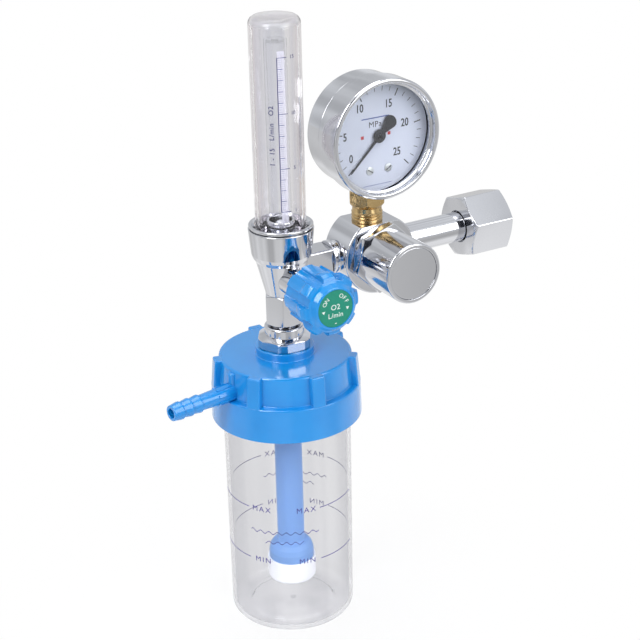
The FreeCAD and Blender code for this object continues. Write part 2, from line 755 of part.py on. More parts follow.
def gauge_case():
    back = CASE_BACK
    outside = turned([
        (0, back),
        (CASE_R - CASE_EDGE, back),
        (CASE_R - 0.9, back - 0.9),
        (CASE_R, back - CASE_EDGE),
        (CASE_R, CASE_STEP_Y + 0.5),
        (CASE_STEP_R, CASE_STEP_Y),
        (CASE_STEP_R, CASE_FRONT),
        (0, CASE_FRONT),
    ], GAUGE_AXIS, BACK)
    inside = turned([
        (0, back - CASE_WALL),
        (CASE_R - CASE_EDGE - 0.3, back - CASE_WALL),
        (CASE_R - CASE_WALL, back - CASE_EDGE - 0.5),
        (CASE_R - CASE_WALL, CASE_STEP_Y),
        (CASE_STEP_R - CASE_WALL, CASE_STEP_Y - 0.5),
        (CASE_STEP_R - CASE_WALL, CASE_FRONT),
        (0, CASE_FRONT),
    ], GAUGE_AXIS, BACK)
    socket_hole = rod(SOCKET_SHANK_R + SEAT_GAP, 0, GAUGE_Z - CASE_R / 2, DRUM_AXIS, Z)
    return outside.cut([inside, socket_hole])


def gauge_bezel():
    skirt_end = CASE_FRONT + BEZEL_SKIRT - 3.0
    inner = CASE_STEP_R + SEAT_GAP
    return turned([
        (inner, skirt_end),
        (BEZEL_R, skirt_end),
        (BEZEL_R, BEZEL_FRONT + 1.3),
        (BEZEL_R - 0.4, BEZEL_FRONT + 0.4),
        (BEZEL_R - 1.3, BEZEL_FRONT),
        (BEZEL_LIP_R + 0.8, BEZEL_FRONT + 0.2),
        (BEZEL_LIP_R, BEZEL_FRONT + 1.0),
        (BEZEL_LIP_R, GASKET_BACK_Y - GASKET_THICK - 0.9),
        (BEZEL_LEDGE_R, GASKET_BACK_Y - GASKET_THICK - 0.7),
        (BEZEL_LEDGE_R, GASKET_BACK_Y - GASKET_THICK),
        (inner, GASKET_BACK_Y - GASKET_THICK),
    ], GAUGE_AXIS, BACK)


def gauge_window():
    return rod(CASE_STEP_R - 0.1, GASKET_BACK_Y, CASE_FRONT, GAUGE_AXIS, BACK)


def window_gasket():
    outer = CASE_STEP_R - 0.1
    return ring(outer, outer - GASKET_WIDTH, GASKET_BACK_Y - GASKET_THICK, GASKET_BACK_Y, GAUGE_AXIS, BACK)


def screw_pair(radius, dx, dz, y0, y1):
    """Two screw shanks or holes, left and right of the gauge's middle."""
    return [rod(radius, y0, y1, V(REG_X + side * dx, 0, GAUGE_Z + dz), BACK) for side in (-1, 1)]


def dial_screw_holes():
    return screw_pair(DIAL_SCREW_R + SEAT_GAP, DIAL_SCREW_X, DIAL_SCREW_Z, DIAL_FRONT_Y - 1,
                      MOVEMENT_FRONT_Y + MOVEMENT_PLATE + 1)


def movement_screw_holes():
    return screw_pair(DIAL_SCREW_R + SEAT_GAP, MOVEMENT_SCREW_X, MOVEMENT_SCREW_Z,
                      MOVEMENT_BACK_Y - MOVEMENT_PLATE, MOVEMENT_BACK_Y + 3.6)


def gauge_dial():
    back = MOVEMENT_FRONT_Y
    disc = ring(DIAL_R, DIAL_HOLE_R, DIAL_FRONT_Y, back, GAUGE_AXIS, BACK)
    return disc.cut(dial_screw_holes())


def dial_screws():
    seat = DIAL_FRONT_Y
    screws = []
    for side in (-1, 1):
        place = V(REG_X + side * DIAL_SCREW_X, 0, GAUGE_Z + DIAL_SCREW_Z)
        shank_end = MOVEMENT_FRONT_Y + MOVEMENT_PLATE
        screw = turned([
            (0, seat - DIAL_SCREW_HEAD),
            (DIAL_SCREW_HEAD_R - 0.6, seat - DIAL_SCREW_HEAD),
            (DIAL_SCREW_HEAD_R, seat - 0.3),
            (DIAL_SCREW_HEAD_R, seat),
            (DIAL_SCREW_R, seat),
            (DIAL_SCREW_R, shank_end),
            (0, shank_end),
        ], place, BACK)
        half = DIAL_SCREW_HEAD_R
        slot = box(place.x - half, place.x + half, seat - DIAL_SCREW_HEAD, seat - 0.5,
                   place.z - 0.25, place.z + 0.25)
        screws.append(screw.cut(slot))
    return Part.makeCompound(screws)


def arc_band(inner, outer, low, high, start, sweep):
    """Band about the pointer's axis, from start degrees, sweeping clockwise seen from the front."""
    corners = [V(inner, low, 0), V(outer, low, 0), V(outer, high, 0), V(inner, high, 0)]
    face = Part.Face(Part.makePolygon(corners + [corners[0]]))
    band = face.revolve(V(0, 0, 0), Y, sweep)
    band.rotate(V(0, 0, 0), Y, -start)
    band.translate(GAUGE_AXIS)
    return band


def bourdon_outline(wall):
    """Flattened tube bent to a C; wall takes the tube's thickness off every side."""
    inner = TUBE_R - TUBE_FLAT / 2 + wall
    outer = TUBE_R + TUBE_FLAT / 2 - wall
    low = BLOCK_FRONT + 0.5 + wall
    high = BLOCK_FRONT + 0.5 + TUBE_BREADTH - wall
    return arc_band(inner, outer, low, high, TUBE_START, TUBE_SWEEP)


def bourdon_tube():
    return bourdon_outline(0.0).cut(bourdon_outline(TUBE_WALL))


def tube_tip():
    """Solder cap on the free end of the tube, with the arm that reaches forward to the link."""
    low = BLOCK_FRONT + 0.5
    cap = arc_band(TUBE_R - TUBE_FLAT / 2, TUBE_R + TUBE_FLAT / 2, low, low + TUBE_BREADTH,
                   TUBE_START - TUBE_SWEEP, 4.0)
    joint = link_end()
    lug_x = REG_X + TUBE_R
    lug = box(lug_x - 1.0, lug_x + 1.0, low, low + 2.0, joint.z - 1.0, GAUGE_Z - 0.6)
    arm = box(joint.x - 1.0, lug_x + 1.0, link_back_y() + 0.1, low + 1.0, joint.z - 1.0, joint.z + 1.0)
    return whole(cap, [lug, arm])


def sector_pivot():
    """Axis of the sector gear, below the pointer's axis by the two pitch radii."""
    drop = TOOTH_MODULE * (SECTOR_TEETH_ROUND + PINION_TEETH) / 2
    return V(REG_X, 0, GAUGE_Z - drop)


def tooth_ring(teeth, first, count, y0, y1, centre):
    """Teeth as tapered prisms on a wheel whose axis runs along Y."""
    pitch_r = TOOTH_MODULE * teeth / 2
    step = 2 * math.pi / teeth
    root_r = pitch_r - 1.15 * TOOTH_MODULE
    tip_r = pitch_r + 0.75 * TOOTH_MODULE
    solids = []
    for k in range(count):
        middle = first + k * step
        points = []
        for radius, share in ((root_r - 0.1, 1.25), (root_r, 1.25), (tip_r, 0.45)):
            points.append((radius, middle - share * TOOTH_HALF_SHARE * step))
        for radius, share in ((tip_r, 0.45), (root_r, 1.25), (root_r - 0.1, 1.25)):
            points.append((radius, middle + share * TOOTH_HALF_SHARE * step))
        corners = [V(r * math.cos(a), y0, r * math.sin(a)) for r, a in points]
        solids.append(Part.Face(Part.makePolygon(corners + [corners[0]])).extrude(V(0, y1 - y0, 0)))
    for solid in solids:
        solid.translate(centre)
    return solids


def gear_y():
    """Middle of the meshing teeth."""
    return MOVEMENT_BACK_Y - MOVEMENT_PLATE - MOVEMENT_DEPTH + 1.6


def sector_gear():
    pivot = sector_pivot()
    middle = gear_y()
    y0, y1 = middle - SECTOR_THICK / 2, middle + SECTOR_THICK / 2
    pitch_r = TOOTH_MODULE * SECTOR_TEETH_ROUND / 2
    root_r = pitch_r - 1.15 * TOOTH_MODULE
    step = 360.0 / SECTOR_TEETH_ROUND
    swing = POINTER_SWING * PINION_TEETH / SECTOR_TEETH_ROUND
    count = round(swing / step) + 1 + 2 * TEETH_SPARE
    first = 90.0 + (TEETH_SPARE + 1 - count) * step
    span = count * step
    hub = rod(2.0, y0, y1, pivot, BACK)
    wedge = [V(0, y0, 0)]
    for k in range(9):
        angle = math.radians(first - step / 2 + k * span / 8)
        wedge.append(V(root_r * math.cos(angle), y0, root_r * math.sin(angle)))
    web = Part.Face(Part.makePolygon(wedge + [wedge[0]])).extrude(V(0, y1 - y0, 0))
    web.translate(pivot)
    tail = box(0, SECTOR_ARM + 1.0, y0, y1, -1.0, 1.0)
    tail.rotate(V(0, 0, 0), Y, SECTOR_TAIL_ANGLE)
    tail.translate(pivot)
    back = MOVEMENT_BACK_Y - RUN_GAP
    front = MOVEMENT_FRONT_Y + RUN_GAP
    shaft = rod(ARBOR_R, back, front, pivot, BACK)
    pin = rod(0.5, y0 - LINK_THICK - 0.4, y1, link_pin(), BACK)
    teeth = tooth_ring(SECTOR_TEETH_ROUND, math.radians(first), count, y0, y1, pivot)
    return whole(web, teeth + [hub, tail, shaft, pin])


def link_pin():
    """Where the link joins the tail of the sector gear."""
    angle = math.radians(-SECTOR_TAIL_ANGLE)
    return sector_pivot() + V(SECTOR_ARM * math.cos(angle), 0, SECTOR_ARM * math.sin(angle))


def link_end():
    """Where the link meets the arm of the tube's tip."""
    return V(REG_X + TUBE_R - 2.6, 0, GAUGE_Z - TIP_LENGTH - 1.2)


def link_back_y():
    """Back of the link, just in front of the sector gear."""
    return gear_y() - SECTOR_THICK / 2 - 0.1


def tip_link():
    """Flat link from the sector's tail to the tube's tip, in front of both."""
    y1 = link_back_y()
    start = link_pin()
    end = link_end()
    run = V(end.x - start.x, 0, end.z - start.z)
    bar = box(0, run.Length, y1 - LINK_THICK, y1, -LINK_WIDTH / 2, LINK_WIDTH / 2)
    bar.rotate(V(0, 0, 0), Y, -math.degrees(math.atan2(run.z, run.x)))
    bar.translate(V(start.x, 0, start.z))
    ends = [rod(LINK_WIDTH / 2, y1 - LINK_THICK, y1, V(p.x, 0, p.z), BACK) for p in (start, end)]
    eye = rod(0.5 + RUN_GAP, y1 - 2, y1 + 2, V(start.x, 0, start.z), BACK)
    return whole(bar, ends).cut(eye)


def pinion_arbor():
    middle = gear_y()
    y0, y1 = middle - 1.0, middle + 1.0
    pitch_r = TOOTH_MODULE * PINION_TEETH / 2
    core = rod(pitch_r - 1.15 * TOOTH_MODULE, y0, y1, GAUGE_AXIS, BACK)
    shaft = rod(ARBOR_R, MOVEMENT_BACK_Y - RUN_GAP, pointer_back_y() - POINTER_THICK - 0.6, GAUGE_AXIS, BACK)
    spring_y = hairspring_y()
    collet = rod(HAIRSPRING_IN_R - 0.1, spring_y - HAIRSPRING_HEIGHT, spring_y, GAUGE_AXIS, BACK)
    teeth = tooth_ring(PINION_TEETH, math.radians(-90 + 180.0 / PINION_TEETH), PINION_TEETH, y0, y1,
                       GAUGE_AXIS)
    return whole(core, teeth + [shaft, collet])


def hairspring_y():
    """Back of the hairspring."""
    return MOVEMENT_BACK_Y - MOVEMENT_PLATE - 0.6


def hairspring():
    """Flat spiral between the back plate and the pinion."""
    y1 = hairspring_y()
    sides = []
    for offset in (0.0, HAIRSPRING_THICK):
        points = []
        for k in range(int(HAIRSPRING_TURNS * 16) + 1):
            angle = 2 * math.pi * k / 16
            radius = HAIRSPRING_IN_R + offset + HAIRSPRING_PITCH * k / 16
            points.append(V(radius * math.cos(angle), 0, radius * math.sin(angle)))
        curve = Part.BSplineCurve()
        curve.interpolate(points)
        sides.append(curve.toShape())
    ends = []
    for index in (0, -1):
        ends.append(Part.makeLine(sides[0].Vertexes[index].Point, sides[1].Vertexes[index].Point))
    outline = Part.Wire(Part.__sortEdges__([sides[0], ends[1], sides[1], ends[0]]))
    strip = Part.Face(outline).extrude(V(0, -HAIRSPRING_HEIGHT, 0))
    stud_x = HAIRSPRING_IN_R + HAIRSPRING_THICK / 2 + HAIRSPRING_PITCH * HAIRSPRING_TURNS
    stud = box(stud_x - 0.4, stud_x + 0.4, -HAIRSPRING_HEIGHT - 0.1, 0.6, -0.5, 0.3)
    solid = whole(strip, [stud])
    solid.translate(V(GAUGE_AXIS.x, y1, GAUGE_AXIS.z))
    return solid


def movement_plate(y0, y1, screw_holes):
    """Plate with the two arbor holes and its screw holes."""
    half = PLATE_WIDTH / 2
    plate = box(REG_X - half, REG_X + half, y0, y1, GAUGE_Z + PLATE_LOW, GAUGE_Z + PLATE_HIGH)
    corners = [e for e in plate.Edges if abs(e.tangentAt(0).y) > 0.9]
    plate = plate.makeFillet(2.0, corners)
    holes = [rod(ARBOR_R + RUN_GAP, y0 - 1, y1 + 1, place, BACK) for place in (GAUGE_AXIS, sector_pivot())]
    return plate.cut(holes + screw_holes)


def movement_back_plate():
    return movement_plate(MOVEMENT_BACK_Y - MOVEMENT_PLATE, MOVEMENT_BACK_Y, movement_screw_holes())


def movement_front_plate():
    return movement_plate(MOVEMENT_FRONT_Y, MOVEMENT_FRONT_Y + MOVEMENT_PLATE, dial_screw_holes())


def plate_pillars():
    y1 = MOVEMENT_BACK_Y - MOVEMENT_PLATE
    y0 = MOVEMENT_FRONT_Y + MOVEMENT_PLATE
    places = [(-DIAL_SCREW_X, DIAL_SCREW_Z), (DIAL_SCREW_X, DIAL_SCREW_Z), (-DIAL_SCREW_X, PLATE_HIGH - 2.5)]
    pillars = []
    for dx, dz in places:
        pillars.append(rod(PILLAR_R, y0, y1, V(REG_X + dx, 0, GAUGE_Z + dz), BACK))
    return Part.makeCompound(pillars)


def movement_screws():
    """Two screws through the back plate into the socket block."""
    return Part.makeCompound(screw_pair(DIAL_SCREW_R, MOVEMENT_SCREW_X, MOVEMENT_SCREW_Z,
                                        MOVEMENT_BACK_Y - MOVEMENT_PLATE, MOVEMENT_BACK_Y + 3.5))


def pointer_back_y():
    return DIAL_FRONT_Y - 0.8


def pointer():
    back = pointer_back_y()
    front = back - POINTER_THICK
    tail_half = 3.6
    outline = [
        V(1.0, front, 0.75),
        V(POINTER_TIP_R - 1.0, front, 0.35),
        V(POINTER_TIP_R, front, 0),
        V(POINTER_TIP_R - 1.0, front, -0.35),
        V(1.0, front, -0.75),
        V(-1.5, front, -0.9),
        V(-POINTER_TAIL_R + 3.2, front, -tail_half),
    ]
    edges = [Part.makeLine(a, b) for a, b in zip(outline, outline[1:])]
    tail_low, tail_high = outline[-1], V(-POINTER_TAIL_R + 3.2, front, tail_half)
    edges.append(Part.Arc(tail_low, V(-POINTER_TAIL_R, front, 0), tail_high).toShape())
    edges.append(Part.makeLine(tail_high, V(-1.5, front, 0.9)))
    edges.append(Part.makeLine(V(-1.5, front, 0.9), outline[0]))
    blade = Part.Face(Part.Wire(edges)).extrude(V(0, POINTER_THICK, 0))
    hub = turned([
        (0, front - 0.6),
        (POINTER_HUB_R - 0.4, front - 0.6),
        (POINTER_HUB_R, front - 0.2),
        (POINTER_HUB_R, back),
        (0, back),
    ], V(0, 0, 0), BACK)
    shape = whole(blade, [hub]).cut(rod(ARBOR_R, front - 1, back, V(0, 0, 0), BACK))
    shape.rotate(V(0, 0, 0), Y, -POINTER_REST)
    shape.translate(GAUGE_AXIS)
    return shape


def flowmeter_body():
    column_corner = COLUMN_AF / math.sqrt(3)
    bowl = turned([
        (0, CONE_END_Z - 1.0),
        (CONE_END_R, CONE_END_Z - 1.0),
        (CONE_END_R, CONE_END_Z),
        (CUP_FOOT_R, CUP_FOOT_Z),
        (CUP_LOW_R - 0.6, CUP_LOW_Z - 1.9),
        (CUP_LOW_R, CUP_LOW_Z),
        (CUP_R, CUP_TOP - 0.4),
        (CUP_R - 0.4, CUP_TOP),
        (0, CUP_TOP),
    ], FLOW_AXIS, Z)
    bar = hexagon(COLUMN_AF, COLUMN_END_Z, CONE_END_Z, FLOW_AXIS, Z)
    bar = bar.common(turned([
        (0, COLUMN_END_Z),
        (column_corner - 0.6, COLUMN_END_Z),
        (column_corner + 0.1, COLUMN_END_Z + 0.7),
        (column_corner + 0.1, CONE_END_Z - 1.6),
        (CONE_END_R, CONE_END_Z),
        (0, CONE_END_Z),
    ], FLOW_AXIS, Z))
    half = ARM_SIDE / 2
    arm_end = RING_SEAT_X - RING_LENGTH - 0.2
    arm = box(FLOW_X + 6.0, arm_end, -half, half, -half, half)
    arm = arm.makeChamfer(ARM_EDGE, [e for e in arm.Edges if abs(e.tangentAt(0).x) > 0.9])
    arm_thread = rod(ARM_THREAD_R, arm_end - 1, RING_SEAT_X + ARM_THREAD_IN_DRUM - 0.4, V(0, 0, 0), X)
    boss = turned([
        (0, 0),
        (VALVE_BOSS_R, 0),
        (VALVE_BOSS_R, -VALVE_BOSS_END - 0.6),
        (VALVE_BOSS_R - 0.6, -VALVE_BOSS_END),
        (0, -VALVE_BOSS_END),
    ], KNOB_AXIS, FRONT)
    post = turned([
        (0, CUP_FLOOR_Z - 1.0),
        (POST_BASE_R, CUP_FLOOR_Z - 1.0),
        (POST_BASE_R, CUP_FLOOR_Z),
        (POST_R, CUP_FLOOR_Z + 3.0),
        (POST_R, POST_TOP_Z - 0.5),
        (POST_R - 0.5, POST_TOP_Z),
        (0, POST_TOP_Z),
    ], FLOW_AXIS, Z)
    cup_bore = rod(CUP_BORE_R, CUP_FLOOR_Z, CUP_TOP + 1, FLOW_AXIS, Z)
    solid = whole(bowl, [bar, arm, arm_thread, boss]).cut(cup_bore).fuse(post)
    seat_y = CHAMBER_END_Y
    valve_bore = turned([
        (0, -DRILLING_Y - 0.5),
        (SEAT_HOLE_R, -DRILLING_Y - 0.5),
        (SEAT_HOLE_R, -seat_y - SEAT_CONE),
        (SEAT_HOLE_R + SEAT_CONE_WIDTH, -seat_y),
        (VALVE_CHAMBER_R, -seat_y),
        (VALVE_CHAMBER_R, -VALVE_BOSS_END - GLAND),
        (GLAND_R + THREAD_GAP, -VALVE_BOSS_END - GLAND),
        (GLAND_R + THREAD_GAP, -VALVE_BOSS_END + 1),
        (0, -VALVE_BOSS_END + 1),
    ], KNOB_AXIS, FRONT)
    tail_bore_top = COLUMN_END_Z + TAIL_THREAD + 0.3
    outlet_top = V(FLOW_X - OUTLET_HOLE_X, 0, CUP_FLOOR_Z)
    outlet_foot = V(FLOW_X - 1.0, 0, CONE_END_Z - 2.5)
    outlet_run = outlet_foot - outlet_top
    outlet = Part.makeCylinder(DRILLING_R, outlet_run.Length + 2, V(0, 0, -2))
    cuts = [
        valve_bore,
        rod(TUBE_OUT_R + 0.1, POST_WALL_Z, POST_TOP_Z + 1, FLOW_AXIS, Z),
        rod(DRILLING_R, KNOB_Z, POST_WALL_Z, V(FLOW_X, DRILLING_Y, 0), Z),
        rod(ARM_BORE_R, FLOW_X, RING_SEAT_X + ARM_THREAD_IN_DRUM, V(0, 0, 0), X),
        rod(POST_WELL_R, POST_WALL_Z - POST_WELL, POST_WALL_Z, FLOW_AXIS, Z),
        placed(outlet, outlet_top, outlet_run),
        rod(TAIL_BORE_R, CONE_END_Z - 1.5, tail_bore_top - 1, FLOW_AXIS, Z),
        rod(TAIL_THREAD_R + THREAD_GAP, COLUMN_END_Z, tail_bore_top, FLOW_AXIS, Z),
    ]
    return solid.cut(cuts)


def clamp_ring():
    low = CUP_TOP - CLAMP_SKIRT
    flange_low = CUP_TOP + CLAMP_GAP
    top = flange_low + CLAMP_FLANGE
    lip_low = COVER_FOOT_Z + COVER_FLANGE + SEAT_GAP
    skirt_r = CUP_BORE_R - THREAD_GAP
    inner_r = COVER_FLANGE_R + SEAT_GAP + 0.1
    return turned([
        (inner_r, low),
        (skirt_r, low),
        (skirt_r, flange_low),
        (CLAMP_R - 0.3, flange_low),
        (CLAMP_R, flange_low + 0.3),
        (CLAMP_R, top - 0.5),
        (CLAMP_R - 0.4, top - 0.3),
        (CLAMP_R - 0.6, top),
        (CLAMP_MOUTH_R, top),
        (CLAMP_LIP_R, lip_low + 1.2),
        (CLAMP_LIP_R, lip_low),
        (inner_r, lip_low),
    ], FLOW_AXIS, Z)


def cover_o_ring():
    return o_ring(O_RING_R, O_RING_WIRE_R, CUP_FLOOR_Z + O_RING_WIRE_R, FLOW_AXIS, Z)


def tube_cover():
    """Clear moulded cover: closed dome with a thick clamping flange at its foot."""
    foot = COVER_FOOT_Z
    inner = COVER_R - COVER_WALL
    outside = turned([
        (0, foot),
        (COVER_FLANGE_R, foot),
        (COVER_FLANGE_R, foot + COVER_FLANGE),
        (COVER_R + 0.1, foot + COVER_FLANGE),
        (COVER_R, foot + COVER_FLANGE + 0.4),
        (COVER_R, COVER_TOP),
        (0, COVER_TOP),
    ], FLOW_AXIS, Z)
    rim = [e for e in outside.Edges if e.BoundBox.ZMin > COVER_TOP - 0.01 and e.Length > 10]
    outside = outside.makeFillet(COVER_SHOULDER, rim)
    inside = turned([
        (0, foot),
        (inner + 0.5, foot),
        (inner, foot + 6.0),
        (inner, COVER_ROOF_Z - 1.5),
        (inner - 1.5, COVER_ROOF_Z),
        (0, COVER_ROOF_Z),
    ], FLOW_AXIS, Z)
    return outside.cut(inside)


def metering_tube():
    bore = turned([
        (0, METER_FOOT_Z),
        (METER_LOW_R, METER_FOOT_Z),
        (METER_TOP_R, METER_TOP_Z),
        (0, METER_TOP_Z),
    ], FLOW_AXIS, Z)
    return rod(TUBE_OUT_R, METER_FOOT_Z, METER_TOP_Z, FLOW_AXIS, Z).cut(bore)


def lower_tube_seal():
    """Rubber seat under the metering tube; its hole's rim is the seat of the ball."""
    return turned([
        (SEAL_HOLE_R, POST_WALL_Z),
        (TUBE_OUT_R, POST_WALL_Z),
        (TUBE_OUT_R, METER_FOOT_Z),
        (SEAL_HOLE_R + 0.4, METER_FOOT_Z),
        (SEAL_HOLE_R, METER_FOOT_Z - 0.4),
    ], FLOW_AXIS, Z)


def upper_tube_seal():
    """Rubber cap that centres the metering tube's top and lets the gas out through its slots."""
    low = METER_TOP_Z - UPPER_SEAL_GRIP
    shelf = METER_TOP_Z + SEAT_GAP
    cap = turned([
        (TUBE_OUT_R + SEAT_GAP, low),
        (UPPER_SEAL_R, low),
        (UPPER_SEAL_R, COVER_ROOF_Z - SEAT_GAP),
        (METER_TOP_R - 0.8, COVER_ROOF_Z - SEAT_GAP),
        (METER_TOP_R - 0.8, shelf),
        (TUBE_OUT_R + SEAT_GAP, shelf),
    ], FLOW_AXIS, Z)
    half = UPPER_SLOT / 2
    slots = []
    for x_half, y_half in ((UPPER_SEAL_R + 1, half), (half, UPPER_SEAL_R + 1)):
        slots.append(box(FLOW_X - x_half, FLOW_X + x_half, -y_half, y_half, shelf + 1.4, COVER_ROOF_Z))
    return cap.cut(slots)


def float_stop():
    """Spoked disc in the tube's mouth that stops the ball."""
    radius = METER_TOP_R - 0.1
    low = METER_TOP_Z - STOP_THICK
    rim = ring(radius, radius - 0.9, low, METER_TOP_Z, FLOW_AXIS, Z)
    reach = radius - 0.5
    bars = [
        box(FLOW_X - reach, FLOW_X + reach, -0.5, 0.5, low, METER_TOP_Z),
        box(FLOW_X - 0.5, FLOW_X + 0.5, -reach, reach, low, METER_TOP_Z),
    ]
    return whole(rim, bars)


def ball_rest_z():
    """Height of the ball's centre where it sits on the chamfer of its seat."""
    rim_r = SEAL_HOLE_R + 0.4
    return METER_FOOT_Z + math.sqrt(BALL_R ** 2 - rim_r ** 2) + SEAT_GAP


def float_ball():
    return Part.makeSphere(BALL_R, V(FLOW_X, 0, ball_rest_z()))


def gland_nut():
    """Gland that screws into the valve's boss and holds the rubber ring against its floor."""
    back = VALVE_BOSS_END + GLAND - 2 * SPINDLE_O_RING_WIRE_R - 2 * SEAT_GAP
    front = VALVE_BOSS_END - 2.4
    plug = rod(GLAND_R, -back, -VALVE_BOSS_END + 0.1, KNOB_AXIS, FRONT)
    head = hexagon(11.0, -VALVE_BOSS_END + 0.05, -front, KNOB_AXIS, FRONT)
    return whole(plug, [head]).cut(rod(GLAND_HOLE_R, 0, -front, KNOB_AXIS, FRONT))


def o_ring_y():
    return VALVE_BOSS_END + GLAND - SPINDLE_O_RING_WIRE_R - SEAT_GAP


def spindle_o_ring():
    return o_ring(SPINDLE_R + SPINDLE_O_RING_WIRE_R + RUN_GAP, SPINDLE_O_RING_WIRE_R, -o_ring_y(),
                  KNOB_AXIS, FRONT)


def spindle_end_y():
    """Face of the spindle that the knob's screw pulls against."""
    return KNOB_FRONT + KNOB_END_WALL


def valve_spindle():
    cone_tip = -CHAMBER_END_Y - SEAT_CONE
    thread_front = -o_ring_y() - SPINDLE_O_RING_WIRE_R - 2.2
    slope = SEAT_CONE / SEAT_CONE_WIDTH
    needle_r = SEAT_HOLE_R - RUN_GAP
    body = turned([
        (0, cone_tip - 0.7),
        (needle_r - 0.4, cone_tip - 0.7),
        (needle_r, cone_tip),
        (SPINDLE_THREAD_R, cone_tip + (SPINDLE_THREAD_R - needle_r) * slope),
        (SPINDLE_THREAD_R, thread_front),
        (SPINDLE_R, thread_front + 0.5),
        (SPINDLE_R, -spindle_end_y()),
        (0, -spindle_end_y()),
    ], KNOB_AXIS, FRONT)
    hole = rod(KNOB_SCREW_R + THREAD_GAP, -spindle_end_y(), -spindle_end_y() - 9, KNOB_AXIS, FRONT)
    return body.cut(hole)


def knob_face():
    """Distance of the knob's face in front of the valve's centre."""
    return -KNOB_FRONT + KNOB_FACE


def knob():
    """Moulded knob: a shell with eight lobes that swell towards its front, a hub and a label recess."""
    lobe_start = -KNOB_FRONT - KNOB_LOBE_LENGTH
    face = knob_face()
    shell = turned([
        (0, -KNOB_BACK),
        (KNOB_BACK_R - 0.8, -KNOB_BACK),
        (KNOB_BACK_R - 0.2, -KNOB_BACK + 0.3),
        (KNOB_BACK_R, -KNOB_BACK + 0.9),
        (KNOB_BACK_R + 0.3, lobe_start),
        (KNOB_FRONT_R, -KNOB_FRONT - 3.6),
        (KNOB_FRONT_R, -KNOB_FRONT - 2.0),
        (KNOB_FRONT_R - 0.7, -KNOB_FRONT - 0.6),
        (KNOB_FRONT_R - 2.0, -KNOB_FRONT),
        (KNOB_FACE_R + 2.4, -KNOB_FRONT + 0.4),
        (KNOB_FACE_R + 1.6, -KNOB_FRONT + 1.0),
        (KNOB_FACE_R + 0.2, face - 0.3),
        (KNOB_FACE_R - 0.4, face),
        (0, face),
    ], KNOB_AXIS, FRONT)
    cavity = turned([
        (KNOB_HUB_R, -KNOB_BACK),
        (KNOB_CORE_R - KNOB_WALL, -KNOB_BACK),
        (KNOB_CORE_R - KNOB_WALL - 0.6, -KNOB_FRONT - KNOB_END_WALL),
        (KNOB_HUB_R, -KNOB_FRONT - KNOB_END_WALL),
    ], KNOB_AXIS, FRONT)
    head_floor = -spindle_end_y() + 1.4
    screw_recess = turned([
        (0, -KNOB_BACK - 1),
        (SPINDLE_R + SEAT_GAP, -KNOB_BACK - 1),
        (SPINDLE_R + SEAT_GAP, -spindle_end_y()),
        (KNOB_SCREW_R + SEAT_GAP, -spindle_end_y()),
        (KNOB_SCREW_R + SEAT_GAP, head_floor),
        (KNOB_SCREW_HEAD_R + 0.2, head_floor),
        (KNOB_SCREW_HEAD_R + 0.2, face),
        (0, face),
    ], KNOB_AXIS, FRONT)
    label_seat = rod(LABEL_R + SEAT_GAP, face - LABEL_THICK - LABEL_SINK, face + 1, KNOB_AXIS, FRONT)
    hub_trim = rod(KNOB_HUB_R + 0.1, -KNOB_BACK - 1, -KNOB_BACK + KNOB_HUB_BACK, KNOB_AXIS, FRONT)
    grooves = []
    for k in range(KNOB_LOBES):
        angle = math.radians(KNOB_LOBE_TURN + 360.0 * (k + 0.5) / KNOB_LOBES)
        radial = V(math.cos(angle), 0, math.sin(angle))
        centre = KNOB_AXIS + radial * (KNOB_CORE_R + KNOB_GROOVE_R)
        grooves.append(rod(KNOB_GROOVE_R, -KNOB_BACK - 1, face, centre, FRONT))
    return shell.cut([cavity, screw_recess, label_seat, hub_trim] + grooves)


def knob_screw():
    seat = -spindle_end_y() + 1.4
    screw = turned([
        (0, -spindle_end_y() - 7.5),
        (KNOB_SCREW_R, -spindle_end_y() - 7.5),
        (KNOB_SCREW_R, seat),
        (KNOB_SCREW_HEAD_R, seat),
        (KNOB_SCREW_HEAD_R, seat + 0.8),
        (KNOB_SCREW_HEAD_R - 0.8, seat + KNOB_SCREW_HEAD),
        (0, seat + KNOB_SCREW_HEAD),
    ], KNOB_AXIS, FRONT)
    top = -(seat + KNOB_SCREW_HEAD)
    slot = box(FLOW_X - 0.35, FLOW_X + 0.35, top, top + 0.7, KNOB_Z - 3, KNOB_Z + 3)
    return screw.cut(slot)


def knob_label():
    face = knob_face() - LABEL_SINK
    return rod(LABEL_R, face - LABEL_THICK, face, KNOB_AXIS, FRONT)


def outlet_tail():
    flange_low = TAIL_FLANGE_Z - TAIL_FLANGE
    return turned([
        (TAIL_BORE_R, flange_low),
        (TAIL_FLANGE_R, flange_low),
        (TAIL_FLANGE_R, TAIL_FLANGE_Z - 0.3),
        (TAIL_FLANGE_R - 0.3, TAIL_FLANGE_Z),
        (TAIL_R, TAIL_FLANGE_Z),
        (TAIL_R, COLUMN_END_Z - SEAT_GAP),
        (TAIL_THREAD_R, COLUMN_END_Z - SEAT_GAP),
        (TAIL_THREAD_R, COLUMN_END_Z + TAIL_THREAD),
        (TAIL_BORE_R, COLUMN_END_Z + TAIL_THREAD),
    ], FLOW_AXIS, Z)


